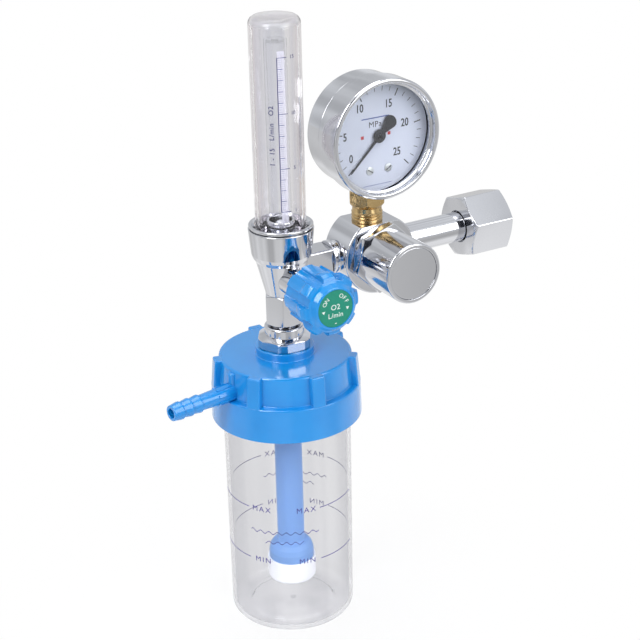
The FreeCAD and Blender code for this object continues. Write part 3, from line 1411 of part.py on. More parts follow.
def coupling_nut():
    """Swivel nut: its hexagon is cut from round bar, so its corners stay rounded."""
    hex_low = COUPLING_HEX_TOP - COUPLING_HEX
    bar = hexagon(COUPLING_HEX_AF, hex_low, COUPLING_HEX_TOP, FLOW_AXIS, Z, COUPLING_HEX_TURN)
    form = turned([
        (0, hex_low),
        (COUPLING_HEX_R - 0.4, hex_low),
        (COUPLING_HEX_R, hex_low + 0.4),
        (COUPLING_HEX_R, COUPLING_HEX_TOP - COUPLING_HEX_CONE),
        (COUPLING_R, COUPLING_HEX_TOP),
        (0, COUPLING_HEX_TOP),
    ], FLOW_AXIS, Z)
    collar = turned([
        (0, COUPLING_END_Z),
        (COUPLING_THREAD_R - 0.5, COUPLING_END_Z),
        (COUPLING_THREAD_R, COUPLING_END_Z + 0.5),
        (COUPLING_THREAD_R, hex_low + 0.5),
        (COUPLING_R, hex_low + 0.5),
        (COUPLING_R, COUPLING_TOP - 1.2),
        (COUPLING_R - 0.5, COUPLING_TOP - 0.3),
        (COUPLING_R - 1.3, COUPLING_TOP),
        (0, COUPLING_TOP),
    ], FLOW_AXIS, Z)
    bore = turned([
        (0, COUPLING_END_Z),
        (COUPLING_HOLE_R, COUPLING_END_Z),
        (COUPLING_HOLE_R, COUPLING_TOP - 0.8),
        (COUPLING_HOLE_R + 0.8, COUPLING_TOP),
        (0, COUPLING_TOP),
    ], FLOW_AXIS, Z)
    return whole(bar.common(form), [collar]).cut(bore)


def boss_washer():
    return ring(TAIL_FLANGE_R, BOSS_WASHER_HOLE_R, BOSS_FLOOR_Z, TAIL_FLANGE_Z - TAIL_FLANGE - SEAT_GAP,
                FLOW_AXIS, Z)


def cap_lug(angle):
    """Grip lug on the side of the cap, leaning out to the skirt at its foot."""
    half = LUG_WIDTH / 2
    foot_z = CAP_TOP_Z - CAP_DRUM - 0.8
    inner = CAP_NECK_R + 1.2
    profile = [
        V(inner, -half, foot_z),
        V(LUG_FOOT_R, -half, foot_z),
        V(LUG_TOP_R, -half, CAP_TOP_Z - 1.0),
        V(LUG_TOP_R - 1.0, -half, CAP_TOP_Z + 0.1),
        V(inner, -half, CAP_TOP_Z + 0.1),
    ]
    lug = Part.Face(Part.makePolygon(profile + [profile[0]])).extrude(V(0, LUG_WIDTH, 0))
    upright = []
    for edge in lug.Edges:
        box_of_edge = edge.BoundBox
        tall = box_of_edge.ZLength > 5
        if tall and box_of_edge.XMin > min(LUG_TOP_R, LUG_FOOT_R) - 0.1:
            upright.append(edge)
    lug = lug.makeFillet(1.2, upright)
    lug.rotate(V(0, 0, 0), Z, angle)
    lug.translate(FLOW_AXIS)
    return lug


def hose_barb():
    """Ridged hose tail, built along its own axis from the bottle's axis outwards."""
    outline = [(0, CAP_NECK_R + 1.0), (BARB_NECK_R, CAP_NECK_R + 1.0)]
    ridges_start = BARB_TIP - BARB_RIDGES * BARB_RIDGE
    outline += [(BARB_NECK_R, CAP_NECK_R + 5.0), (BARB_ROOT_R, ridges_start)]
    for k in range(BARB_RIDGES):
        back = ridges_start + k * BARB_RIDGE
        front = back + BARB_RIDGE
        outline += [(BARB_CREST_R, back), (BARB_CREST_R, back + BARB_LAND), (BARB_ROOT_R, front)]
    outline += [(0, BARB_TIP)]
    angle = math.radians(BARB_ANGLE)
    outward = V(math.cos(angle), math.sin(angle), 0)
    start = V(FLOW_X, 0, BARB_Z)
    barb = turned(outline, start, outward)
    neck_end = ridges_start - 1.0
    ribs = []
    for k in range(4):
        rib = box(-0.7, 0.7, -BARB_NECK_R - 0.25, BARB_NECK_R + 0.25, CAP_NECK_R + 1.0, neck_end)
        rib.rotate(V(0, 0, 0), Z, 22.5 + 45 * k)
        ribs.append(placed(rib, start, outward))
    bore = rod(BARB_BORE_R, CAP_NECK_R - 1.0, BARB_TIP, start, outward)
    return whole(barb, ribs), bore


def humidifier_cap():
    """Moulded screw cap with a threaded boss, six grip lugs and the hose barb."""
    drum_low = CAP_TOP_Z - CAP_DRUM
    skirt_low = drum_low - CAP_SKIRT - 0.5
    socket_low = CAP_ROOF_Z - CAP_SOCKET
    socket_floor = BOSS_FLOOR_Z - CAP_SOCKET_FLOOR
    shell = turned([
        (BOSS_WASHER_HOLE_R, BOSS_FLOOR_Z),
        (COUPLING_THREAD_R + THREAD_GAP, BOSS_FLOOR_Z),
        (COUPLING_THREAD_R + THREAD_GAP, BOSS_TOP_Z),
        (BOSS_R - 0.6, BOSS_TOP_Z),
        (BOSS_R, BOSS_TOP_Z - 0.6),
        (BOSS_R, CAP_TOP_Z),
        (CAP_TOP_R - 1.2, CAP_TOP_Z),
        (CAP_TOP_R - 0.3, CAP_TOP_Z - 0.4),
        (CAP_TOP_R, CAP_TOP_Z - 1.2),
        (CAP_DRUM_R, drum_low + 0.4),
        (CAP_DRUM_R + 0.5, drum_low),
        (CAP_SKIRT_TOP_R - 0.8, drum_low),
        (CAP_SKIRT_TOP_R, drum_low - 0.8),
        (CAP_SKIRT_R, skirt_low),
        (CAP_SKIRT_R - CAP_SKIRT_WALL, skirt_low),
        (CAP_SKIRT_TOP_R - CAP_SKIRT_WALL, drum_low - CAP_LEDGE_WALL),
        (CAP_NECK_R, drum_low - CAP_LEDGE_WALL),
        (CAP_NECK_R, CAP_ROOF_Z),
        (CAP_SOCKET_R, CAP_ROOF_Z),
        (CAP_SOCKET_R, socket_low),
        (DIP_R + SEAT_GAP, socket_low),
        (DIP_R + SEAT_GAP, socket_floor),
        (BOSS_WASHER_HOLE_R, socket_floor),
    ], FLOW_AXIS, Z)
    lugs = [cap_lug(LUG_AXIS + 180.0)]
    for k in range(-LUG_COUNT_HALF, LUG_COUNT_HALF + 1):
        lugs.append(cap_lug(LUG_AXIS + k * LUG_STEP))
    angle = math.radians(BARB_ANGLE)
    rib_at = V(FLOW_X + CAP_TOP_R * math.cos(angle), CAP_TOP_R * math.sin(angle), 0)
    rib = rod(PILLAR_RIB_R, BARB_Z, CAP_TOP_Z - 1.5, rib_at, Z)
    barb, bore = hose_barb()
    solid = whole(shell, lugs + [rib, barb])
    inside = rod(CAP_NECK_R, CAP_ROOF_Z, drum_low - CAP_LEDGE_WALL, FLOW_AXIS, Z)
    keep = rod(CAP_SOCKET_R, CAP_ROOF_Z, drum_low - CAP_LEDGE_WALL, FLOW_AXIS, Z)
    return solid.cut([inside.cut(keep), bore])


def dip_tube():
    """Wide dip tube with a bell at its foot."""
    top = BOSS_FLOOR_Z - CAP_SOCKET_FLOOR - SEAT_GAP
    outside = [(DIP_R, top), (DIP_R, BELL_TOP), (DIP_R + 2.2, BELL_TOP - 1.2), (BELL_R - 0.8, BELL_TOP - 3.2)]
    outside += [(BELL_R, BELL_TOP - 6.0), (BELL_R, BELL_BOTTOM)]
    inside = [(r - DIP_WALL, z) for r, z in reversed(outside)]
    return turned(outside + inside, FLOW_AXIS, Z)


def diffuser():
    """Cup snapped over the bell, with a ring of holes in its floor."""
    inner = BELL_R + SEAT_GAP
    cup = turned([
        (0, DIFFUSER_BOTTOM),
        (DIFFUSER_R, DIFFUSER_BOTTOM),
        (DIFFUSER_R, DIFFUSER_TOP),
        (inner, DIFFUSER_TOP),
        (inner, BELL_BOTTOM - SEAT_GAP),
        (inner - DIFFUSER_WALL, BELL_BOTTOM - SEAT_GAP),
        (inner - DIFFUSER_WALL, DIFFUSER_BOTTOM + 2 * DIFFUSER_WALL),
        (inner - 2 * DIFFUSER_WALL, DIFFUSER_BOTTOM + DIFFUSER_WALL),
        (0, DIFFUSER_BOTTOM + DIFFUSER_WALL),
    ], FLOW_AXIS, Z)
    foot = [e for e in cup.Edges if abs(e.BoundBox.ZMax - DIFFUSER_BOTTOM) < 0.01
            and e.BoundBox.XLength > DIFFUSER_R]
    cup = cup.makeFillet(DIFFUSER_EDGE, foot)
    holes = []
    for k in range(DIFFUSER_HOLES):
        angle = 2 * math.pi * k / DIFFUSER_HOLES
        place = V(FLOW_X + 5.0 * math.cos(angle), 5.0 * math.sin(angle), 0)
        holes.append(rod(DIFFUSER_HOLE_R, DIFFUSER_BOTTOM - 1, DIFFUSER_BOTTOM + 3, place, Z))
    return cup.cut(holes)


def bottle_gasket():
    low = BOTTLE_TOP_Z + SEAT_GAP
    return ring(CAP_NECK_R - 0.1, NECK_R - BOTTLE_WALL - 1.0, low, CAP_ROOF_Z, FLOW_AXIS, Z)


def bottle():
    """Blown clear bottle: wide neck, almost straight wall and a pushed-up base."""
    neck_low = BOTTLE_TOP_Z - NECK_LENGTH
    foot = BOTTLE_BOTTOM
    outside = turned([
        (0, foot + BOTTLE_PUSH_UP),
        (BOTTLE_PUSH_R, foot + BOTTLE_PUSH_UP),
        (BOTTLE_PUSH_R + 1.6, foot),
        (BOTTLE_FOOT_R, foot),
        (BOTTLE_R, neck_low - 1.6),
        (NECK_R, neck_low),
        (NECK_R, BOTTLE_TOP_Z),
        (0, BOTTLE_TOP_Z),
    ], FLOW_AXIS, Z)
    foot_edge = [e for e in outside.Edges if abs(e.BoundBox.ZMax - foot) < 0.01
                 and e.BoundBox.XLength > BOTTLE_PUSH_R + BOTTLE_FOOT_R]
    outside = outside.makeFillet(BOTTLE_EDGE, foot_edge)
    wall = BOTTLE_WALL
    inside = turned([
        (0, foot + BOTTLE_PUSH_UP + wall),
        (BOTTLE_PUSH_R + 1.0, foot + BOTTLE_PUSH_UP + wall),
        (BOTTLE_PUSH_R + 2.2, foot + wall),
        (BOTTLE_FOOT_R - wall, foot + wall),
        (BOTTLE_R - wall, neck_low - 1.9),
        (NECK_R - wall, neck_low - 0.3),
        (NECK_R - wall, BOTTLE_TOP_Z),
        (0, BOTTLE_TOP_Z),
    ], FLOW_AXIS, Z)
    floor_edge = [e for e in inside.Edges if abs(e.BoundBox.ZMax - foot - wall) < 0.01
                  and e.BoundBox.XLength > BOTTLE_PUSH_R + BOTTLE_FOOT_R]
    inside = inside.makeFillet(BOTTLE_EDGE - wall, floor_edge)
    return outside.cut(inside)


PIECES = [
    inlet_nut, inlet_stem, inlet_filter, inlet_washer,
    regulator_body, valve_nozzle, poppet, poppet_spring, diaphragm, diaphragm_plate, main_spring,
    spring_seat, adjusting_screw, bonnet, bonnet_plug, lock_ring,
    gauge_socket, socket_washer, gauge_case, gauge_bezel, gauge_window, window_gasket, gauge_dial,
    dial_screws, bourdon_tube, tube_tip, tip_link, sector_gear, pinion_arbor, hairspring,
    movement_back_plate, movement_front_plate, plate_pillars, movement_screws, pointer,
    flowmeter_body, clamp_ring, cover_o_ring, tube_cover, metering_tube, lower_tube_seal,
    upper_tube_seal, float_stop, float_ball,
    gland_nut, spindle_o_ring, valve_spindle, knob, knob_screw, knob_label,
    outlet_tail, coupling_nut, boss_washer, humidifier_cap, dip_tube, diffuser, bottle_gasket, bottle,
]

os.makedirs("parts", exist_ok=True)
for piece in PIECES:
    shape = piece()
    if not shape.isValid():
        raise ValueError(piece.__name__ + " is not a valid solid")
    shape.exportStep("parts/" + piece.__name__ + ".step")
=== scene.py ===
import json
from math import acos, cos, degrees, hypot, pi, radians, sin, tan

import bmesh
import bpy
from mathutils import Matrix, Vector

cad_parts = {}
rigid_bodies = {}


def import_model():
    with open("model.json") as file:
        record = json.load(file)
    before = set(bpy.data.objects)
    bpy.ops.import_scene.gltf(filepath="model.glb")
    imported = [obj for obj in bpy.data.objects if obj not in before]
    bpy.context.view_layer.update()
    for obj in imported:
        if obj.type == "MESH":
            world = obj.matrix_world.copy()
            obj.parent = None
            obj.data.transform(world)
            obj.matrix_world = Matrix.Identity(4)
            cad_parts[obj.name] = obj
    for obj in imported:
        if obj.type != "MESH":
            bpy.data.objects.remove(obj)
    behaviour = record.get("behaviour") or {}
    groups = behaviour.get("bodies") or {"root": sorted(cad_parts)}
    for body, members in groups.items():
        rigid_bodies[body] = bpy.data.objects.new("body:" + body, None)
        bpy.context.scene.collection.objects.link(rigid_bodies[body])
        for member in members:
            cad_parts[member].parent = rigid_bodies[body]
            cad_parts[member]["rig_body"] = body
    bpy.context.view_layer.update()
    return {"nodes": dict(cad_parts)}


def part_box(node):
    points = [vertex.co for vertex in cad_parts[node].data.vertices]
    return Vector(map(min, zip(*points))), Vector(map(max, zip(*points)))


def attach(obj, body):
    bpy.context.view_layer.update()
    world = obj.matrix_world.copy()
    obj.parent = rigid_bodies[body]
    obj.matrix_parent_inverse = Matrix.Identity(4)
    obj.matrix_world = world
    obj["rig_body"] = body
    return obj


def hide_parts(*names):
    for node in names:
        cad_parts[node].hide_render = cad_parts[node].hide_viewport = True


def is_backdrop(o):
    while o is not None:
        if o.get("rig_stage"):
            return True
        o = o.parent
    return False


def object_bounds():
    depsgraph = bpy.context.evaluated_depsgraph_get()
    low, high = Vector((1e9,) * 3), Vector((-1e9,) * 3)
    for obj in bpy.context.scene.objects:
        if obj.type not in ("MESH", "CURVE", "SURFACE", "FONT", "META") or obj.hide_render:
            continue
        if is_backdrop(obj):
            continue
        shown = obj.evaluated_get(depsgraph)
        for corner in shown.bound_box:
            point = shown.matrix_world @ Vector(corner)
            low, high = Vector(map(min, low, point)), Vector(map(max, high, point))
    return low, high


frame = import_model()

# Inlet nut and stem: a 30 mm hexagon nut that turns loosely on a turned stem with a flange.
# Both are hot-pressed brass, machined, polished and then plated bright with nickel and chromium,
# so they mirror the room, with a faint ripple left by the polishing wheel.
MM = 0.001
REG_X, FLOW_X, GAUGE_Z, KNOB_Z = -79.0, -128.0, 61.5, -3.7
WAYS = {
    "right": Matrix(((0, 0, 1), (1, 0, 0), (0, 1, 0))).to_4x4(),
    "front": Matrix(((1, 0, 0), (0, 0, -1), (0, 1, 0))).to_4x4(),
    "up": Matrix.Identity(4),
}


def at(way, x, y, z):
    """Millimetres measured from a point, with +Z turned to run that way, as metres in the frame."""
    return Matrix.Scale(MM, 4) @ Matrix.Translation((x, y, z)) @ WAYS[way]


inlet_axis = at("right", 0, 0, 0)
drum_axis = at("front", REG_X, 0, 0)
gauge_axis = at("front", REG_X, 0, GAUGE_Z)
flow_axis = at("up", FLOW_X, 0, 0)
arm_axis = at("right", FLOW_X, 0, 0)
knob_axis = at("front", FLOW_X, 0, KNOB_Z)


def eased(outline):
    """An outline of (radius, height) corners, where a third number rounds that corner."""
    points = []
    for index, corner in enumerate(outline):
        here = Vector(corner[:2])
        if len(corner) < 3:
            points.append(here)
            continue
        before = Vector(outline[index - 1][:2]) - here
        after = Vector(outline[(index + 1) % len(outline)][:2]) - here
        turn = before.angle(after)
        reach = min(corner[2] / tan(turn / 2), 0.48 * before.length, 0.48 * after.length)
        middle = here + (before.normalized() + after.normalized()).normalized() * reach / cos(turn / 2)
        start = here + before.normalized() * reach - middle
        end = here + after.normalized() * reach - middle
        sweep = start.angle_signed(end)
        for step in range(5):
            points.append(middle + Matrix.Rotation(-sweep * step / 4, 2) @ start)
    return points


def skin(mesh, rows):
    """Joins rows of points, each a closed ring or a single pole, into a shell. Rows that end with
    their first row again close on it."""
    closed = rows[-1] is rows[0]
    made = [[mesh.verts.new(point) for point in row] for row in (rows[:-1] if closed else rows)]
    if closed:
        made.append(made[0])
    for lower, upper in zip(made, made[1:]):
        count = max(len(lower), len(upper))
        for k in range(count):
            after = (k + 1) % count
            corners = [lower[k % len(lower)], lower[after % len(lower)],
                       upper[after % len(upper)], upper[k % len(upper)]]
            corners = [v for i, v in enumerate(corners) if v not in corners[:i]]
            if len(corners) > 2:
                mesh.faces.new(corners)


def ring(radius, height, axis, columns, reach=None):
    """Points round an axis, or one pole; reach(radius, angle) holds the radius back."""
    if radius < 1e-6:
        return [axis @ Vector((0, 0, height))]
    points = []
    for k in range(columns):
        angle = 2 * pi * k / columns
        held = reach(radius, angle) if reach else radius
        points.append(axis @ Vector((held * cos(angle), held * sin(angle), height)))
    return points


def spun(mesh, outline, axis, columns=96, reach=None):
    """Turns an outline round an axis into a shell."""
    rows = [ring(radius, height, axis, columns, reach) for radius, height in eased(outline)]
    if len(rows[0]) > 1:
        rows.append(rows[0])
    skin(mesh, rows)


def hexed(mesh, outline, across, girth, axis, turn=0.0, edge=0.2):
    """A nut of hexagon bar turned to an outline: the girth rounds its corners, and where a chamfer
    meets a flat it leaves the arc that a lathe leaves. Outline points lie inside the flats or
    outside the corners."""
    flat = across / 2
    t = degrees(acos(flat / girth))
    half = [0.0, t / 3, t / 1.5, t - 0.4, t + 0.3, (t + 30) / 2]
    offsets = [-30.0] + [-o for o in half[:0:-1]] + half
    shape = eased(outline)
    closed = shape[0][0] > 1e-6
    loop = list(zip(shape, shape[1:] + shape[:1])) if closed else list(zip(shape, shape[1:]))
    columns = []
    for side in range(6):
        for offset in offsets:
            reach = min(flat / cos(radians(offset)), girth)
            crossings = [a.lerp(b, (reach - a[0]) / (b[0] - a[0])) for a, b in loop
                         if (a[0] < flat) != (b[0] < flat)]
            up = 1 if crossings[1][1] > crossings[0][1] else -1
            column = []
            for a, b in loop:
                out = a[0] < flat
                if out:
                    column.append(a)
                if out != (b[0] < flat):
                    cross = crossings[0 if out else 1]
                    inner = cross + ((a if out else b) - cross).normalized() * edge
                    outer = Vector((reach, cross[1] + (up if out else -up) * edge))
                    column += [inner, outer] if out else [outer, inner]
            if not closed:
                column.append(shape[-1])
            angle = radians(turn + 30 + 60 * side + offset)
            columns.append([axis @ Vector((p[0] * cos(angle), p[0] * sin(angle), p[1])) for p in column])
    rows = [list(row) for row in zip(*columns)]
    if closed:
        rows.append(rows[0])
    else:
        rows[0], rows[-1] = rows[0][:1], rows[-1][:1]
    skin(mesh, rows)


def placed(name, data):
    """A new object of the scene."""
    made = bpy.data.objects.new(name, data)
    bpy.context.scene.collection.objects.link(made)
    return made


def made_of(name, mesh, material):
    """A new object with a mesh and its material."""
    data = bpy.data.meshes.new(name)
    mesh.to_mesh(data)
    mesh.free()
    data.materials.append(material)
    return placed(name, data)


def finish(name, mesh, material, node, bevel=0.0, crease=40):
    """Makes the piece's object from its mesh, in place of its CAD node, riding on its body."""
    bmesh.ops.recalc_face_normals(mesh, faces=mesh.faces)
    piece = made_of(name, mesh, material)
    piece.data.polygons.foreach_set("use_smooth", [True] * len(piece.data.polygons))
    piece.data.set_sharp_from_angle(angle=radians(crease))
    if bevel:
        rounding = piece.modifiers.new("rounded edges", "BEVEL")
        rounding.width = bevel * MM
        rounding.segments = 3
        rounding.limit_method = "ANGLE"
        rounding.angle_limit = radians(crease - 5)
        rounding.harden_normals = False
    flats = piece.modifiers.new("flats stay flat", "WEIGHTED_NORMAL")
    flats.keep_sharp = True
    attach(piece, frame["nodes"][node]["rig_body"])
    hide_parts(node)


def turned(name, material, node, axis, outline, columns=96, reach=None, **rounding):
    """A piece turned to a single outline."""
    mesh = bmesh.new()
    spun(mesh, outline, axis, columns, reach)
    finish(name, mesh, material, node, **rounding)


def tone(code):
    """sRGB hex to linear colour."""
    channels = [int(code[i:i + 2], 16) / 255 for i in (1, 3, 5)]
    return [c / 12.92 if c < 0.04045 else ((c + 0.055) / 1.055) ** 2.4 for c in channels] + [1.0]


def add(tree, kind, inputs=None, links=None, **settings):
    """A node with its settings, its input values and its links."""
    node = tree.nodes.new(kind)
    for key, value in settings.items():
        setattr(node, key, value)
    for key, value in (inputs or {}).items():
        node.inputs[key].default_value = value
    for key, source in (links or {}).items():
        tree.links.new(source, node.inputs[key])
    return node


def bumped(tree, shader, height, depth_mm, strength=1.0):
    """Bump on a shader from a height between 0 and 1, as deep as the real unevenness."""
    bump = add(tree, "ShaderNodeBump", {"Strength": strength, "Distance": depth_mm * MM}, {"Height": height})
    tree.links.new(bump.outputs["Normal"], shader.inputs["Normal"])


def uneven(tree, place, size_mm, low, high):
    """A value that drifts between low and high over patches of a real size."""
    noise = add(tree, "ShaderNodeTexNoise", {"Scale": 1 / (size_mm * MM), "Detail": 3.0}, {"Vector": place})
    return add(tree, "ShaderNodeMapRange", {"From Min": 0.3, "From Max": 0.7, "To Min": low, "To Max": high},
               {"Value": noise.outputs["Fac"]}).outputs["Result"]


def two_tone(tree, shader, low, high, share):
    """Base colour that runs from one colour to another with a share."""
    shade = add(tree, "ShaderNodeMix", {6: low, 7: high}, {0: share}, data_type="RGBA")
    tree.links.new(shade.outputs[2], shader.inputs["Base Color"])


def finish_of(name, inputs=None, rough=None, wave=None):
    """A new material: its tree, its shader and the place on the object in metres. Its roughness can
    drift over patches (size in mm, low, high), and a slow bump can run over it (size, depth in mm)."""
    material = bpy.data.materials.new(name)
    material.use_nodes = True
    tree = material.node_tree
    tree.nodes.clear()
    shader = add(tree, "ShaderNodeBsdfPrincipled", inputs)
    add(tree, "ShaderNodeOutputMaterial", links={"Surface": shader.outputs[0]})
    place = add(tree, "ShaderNodeTexCoord").outputs["Object"]
    if rough is not None:
        tree.links.new(uneven(tree, place, *rough), shader.inputs["Roughness"])
    if wave is not None:
        size_mm, depth_mm = wave
        noise = add(tree, "ShaderNodeTexNoise", {"Scale": 1 / (size_mm * MM), "Detail": 2.0}, {"Vector": place})
        bumped(tree, shader, noise.outputs["Fac"], depth_mm)
    return material, tree, shader, place


# Bright chromium over polished nickel: nearly a mirror, with a slow ripple and faint wiping marks.
chrome, *_ = finish_of("bright_chrome_plating", {"Metallic": 1.0, "Base Color": tone("#D6D7DB")},
                       rough=(9.0, 0.05, 0.13), wave=(9.0, 0.015))

INLET_MINOR_R = 10.29
thread = []
for k in range(8):
    crest = -13.4 + 1.7 * k
    thread += [(INLET_MINOR_R, crest + 0.35), (INLET_MINOR_R + 0.95, crest + 0.75),
               (INLET_MINOR_R + 0.95, crest + 0.95), (INLET_MINOR_R, crest + 1.35)]
mesh = bmesh.new()
hexed(mesh, [(8.3, -24.0, 0.3), (14.7, -24.0), (17.6, -22.3), (17.6, -1.1), (14.7, 0.0),
             (INLET_MINOR_R + 0.4, 0.0), (INLET_MINOR_R, -0.3)] + thread[::-1]
      + [(INLET_MINOR_R, -14.0), (10.9, -14.0), (10.9, -20.0), (8.3, -20.0)],
      30.0, 17.15, inlet_axis, turn=104.0, edge=0.3)
finish("inlet_nut_shell", mesh, chrome, "inlet_nut")
turned("inlet_stem_bar", chrome, "inlet_stem", inlet_axis,
       [(2.4, -69.0), (6.5, -69.0, 0.5), (6.5, -61.0), (7.7, -61.0, 0.4), (7.7, -19.7), (9.9, -19.7, 0.4),
        (9.9, -16.0, 0.3), (4.6, -16.0, 0.2), (4.6, -24.6), (2.4, -24.6)])

# Sintered filter plug and washer behind the nut's thread. The plug is pressed from bronze beads and
# pushed into the stem; the washer is white nylon and seals on the cylinder's valve.
bronze, tree, shader, place = finish_of("sintered_bronze", {"Metallic": 1.0, "Roughness": 0.55})
beads = add(tree, "ShaderNodeTexVoronoi", {"Scale": 1 / (0.35 * MM)}, {"Vector": place}).outputs["Distance"]
two_tone(tree, shader, tone("#5C4424"), tone("#B08A4E"), beads)
bumped(tree, shader, beads, 0.15, 0.6)
turned("inlet_filter_plug", bronze, "inlet_filter", inlet_axis,
       [(0, -24.6), (4.6, -24.6), (4.6, -16.6, 0.9), (0, -16.6)], 48)
nylon, *_ = finish_of("natural_nylon", {"Base Color": tone("#E9E7DC"), "Subsurface Weight": 0.2,
                                        "Subsurface Radius": (0.002, 0.002, 0.0015)},
                      rough=(3.0, 0.38, 0.5), wave=(0.8, 0.01))
turned("inlet_washer_ring", nylon, "inlet_washer", inlet_axis,
       [(4.4, -16.0), (9.5, -16.0, 0.2), (9.5, -14.3, 0.2), (4.4, -14.3, 0.2)], 64)

# Regulator drum: a short round forging on its side with a flat milled on top for the gauge.
# The same bright plating; its edges are rounded by the polishing before it is plated.
DRUM_R, DRUM_TOP = 20.0, 16.5


def drum_flat(radius, angle):
    """The drum's radius, held back to the milled flat."""
    return min(radius, DRUM_TOP / sin(angle)) if sin(angle) > DRUM_TOP / DRUM_R else radius


turned("regulator_drum", chrome, "regulator_body", drum_axis,
       [(0, -8.5), (DRUM_R, -8.5, 0.9), (DRUM_R, 12.5, 0.9), (0, 12.5)], 240, drum_flat, bevel=0.5, crease=32)

# Spring bonnet: a round barrel with a hexagon foot for the spanner, screwed into the drum's front.
# Turned and plated bright; a plain disc closes its end below a rounded rim.
mesh = bmesh.new()
hexed(mesh, [(0, 13.1), (15.2, 13.1), (18.4, 14.3), (18.4, 18.3), (15.2, 18.55), (0, 18.55)], 31.4,
      17.9, drum_axis, turn=16.0, edge=0.3)
spun(mesh, [(0, 13.3), (15.3, 13.3), (15.3, 42.5, 1.3), (13.25, 42.5, 0.2), (13.25, 40.6), (0, 40.6)],
     drum_axis, 144)
spun(mesh, [(0, 9.6), (15.45, 9.6), (15.45, 13.3), (0, 13.3)], drum_axis)
finish("bonnet_barrel", mesh, chrome, "bonnet")
turned("bonnet_end_disc", chrome, "bonnet_plug", drum_axis,
       [(0, 40.6), (13.2, 40.6), (13.2, 42.2, 0.4), (0, 42.2)], 144)

# Lock ring on the arm's thread, against the drum, which keeps the arm from turning.
# Turned from brass and plated, with a groove round its middle.
turned("arm_lock_ring", chrome, "lock_ring", inlet_axis,
       [(6.25, -98.2), (8.5, -98.2, 0.4), (8.5, -99.9, 0.2), (7.9, -100.4, 0.2), (8.5, -100.9, 0.2),
        (8.5, -102.6, 0.4), (6.25, -102.6)])

# Gauge socket: hexagon, cone and threaded neck turned from one brass bar and left unplated.
# Lathe marks run round it; the metal is warm yellow with a slightly dull skin.
brass, tree, shader, place = finish_of("turned_free_cutting_brass", {"Metallic": 1.0}, rough=(4.0, 0.16, 0.3))
stretched = add(tree, "ShaderNodeMapping", {"Scale": (40, 40, 3500)}, {"Vector": place}).outputs[0]
lathe = add(tree, "ShaderNodeTexNoise", {"Scale": 1.0, "Detail": 2.0}, {"Vector": stretched}).outputs["Fac"]
two_tone(tree, shader, tone("#B4935E"), tone("#DFC592"), lathe)
bumped(tree, shader, lathe, 0.02, 0.5)
socket_axis = at("up", REG_X, 0, 0)
mesh = bmesh.new()
hexed(mesh, [(0, 22.6), (7.4, 22.6), (10.2, 26.0), (10.2, 30.6), (8.3, 31.2), (0, 31.2)], 17.0, 9.65,
      socket_axis)
grooves = []
for k in range(3):
    top = 19.7 - 1.6 * k
    grooves += [(7.8, top, 0.1), (7.2, top - 0.4, 0.1), (7.2, top - 0.8, 0.1), (7.8, top - 1.2, 0.1)]
spun(mesh, [(0, 23.1), (7.4, 23.1), (7.4, 20.4), (7.8, 20.0)] + grooves + [(7.8, 15.0), (0, 15.0)],
     socket_axis, 80)
spun(mesh, [(0, 31.0), (6.4, 31.0), (6.4, 34.6), (0, 34.6)], socket_axis, 48)
finish("gauge_socket_hexagon", mesh, brass, "gauge_socket")

# Gauge case: a spun steel cup, plated bright, with a rounded back, a crease and a step for the bezel.
# It is screwed to the socket from inside.
turned("gauge_case_cup", chrome, "gauge_case", gauge_axis,
       [(0, -10.0), (28.5, -10.0, 3.0), (28.5, 2.6, 0.2), (28.1, 3.0, 0.2), (28.5, 3.4, 0.2),
        (29.3, 4.0, 0.3), (29.3, 13.0), (28.3, 13.0), (28.3, 4.6), (27.5, 3.9), (27.5, -9.0, 2.2),
        (0, -9.0)], 160)

# Bezel: a spun ring, plated bright, pressed over the case so that it holds the glass.
# It has an outside skirt, a rounded lip and a deep inner wall.
turned("bezel_ring", chrome, "gauge_bezel", gauge_axis,
       [(29.35, 8.0), (30.0, 8.0, 0.3), (30.0, 20.0, 1.5), (27.4, 20.0, 0.9), (27.4, 16.9, 0.4),
        (26.2, 16.5, 0.2), (26.2, 15.8), (29.35, 15.8)], 192)


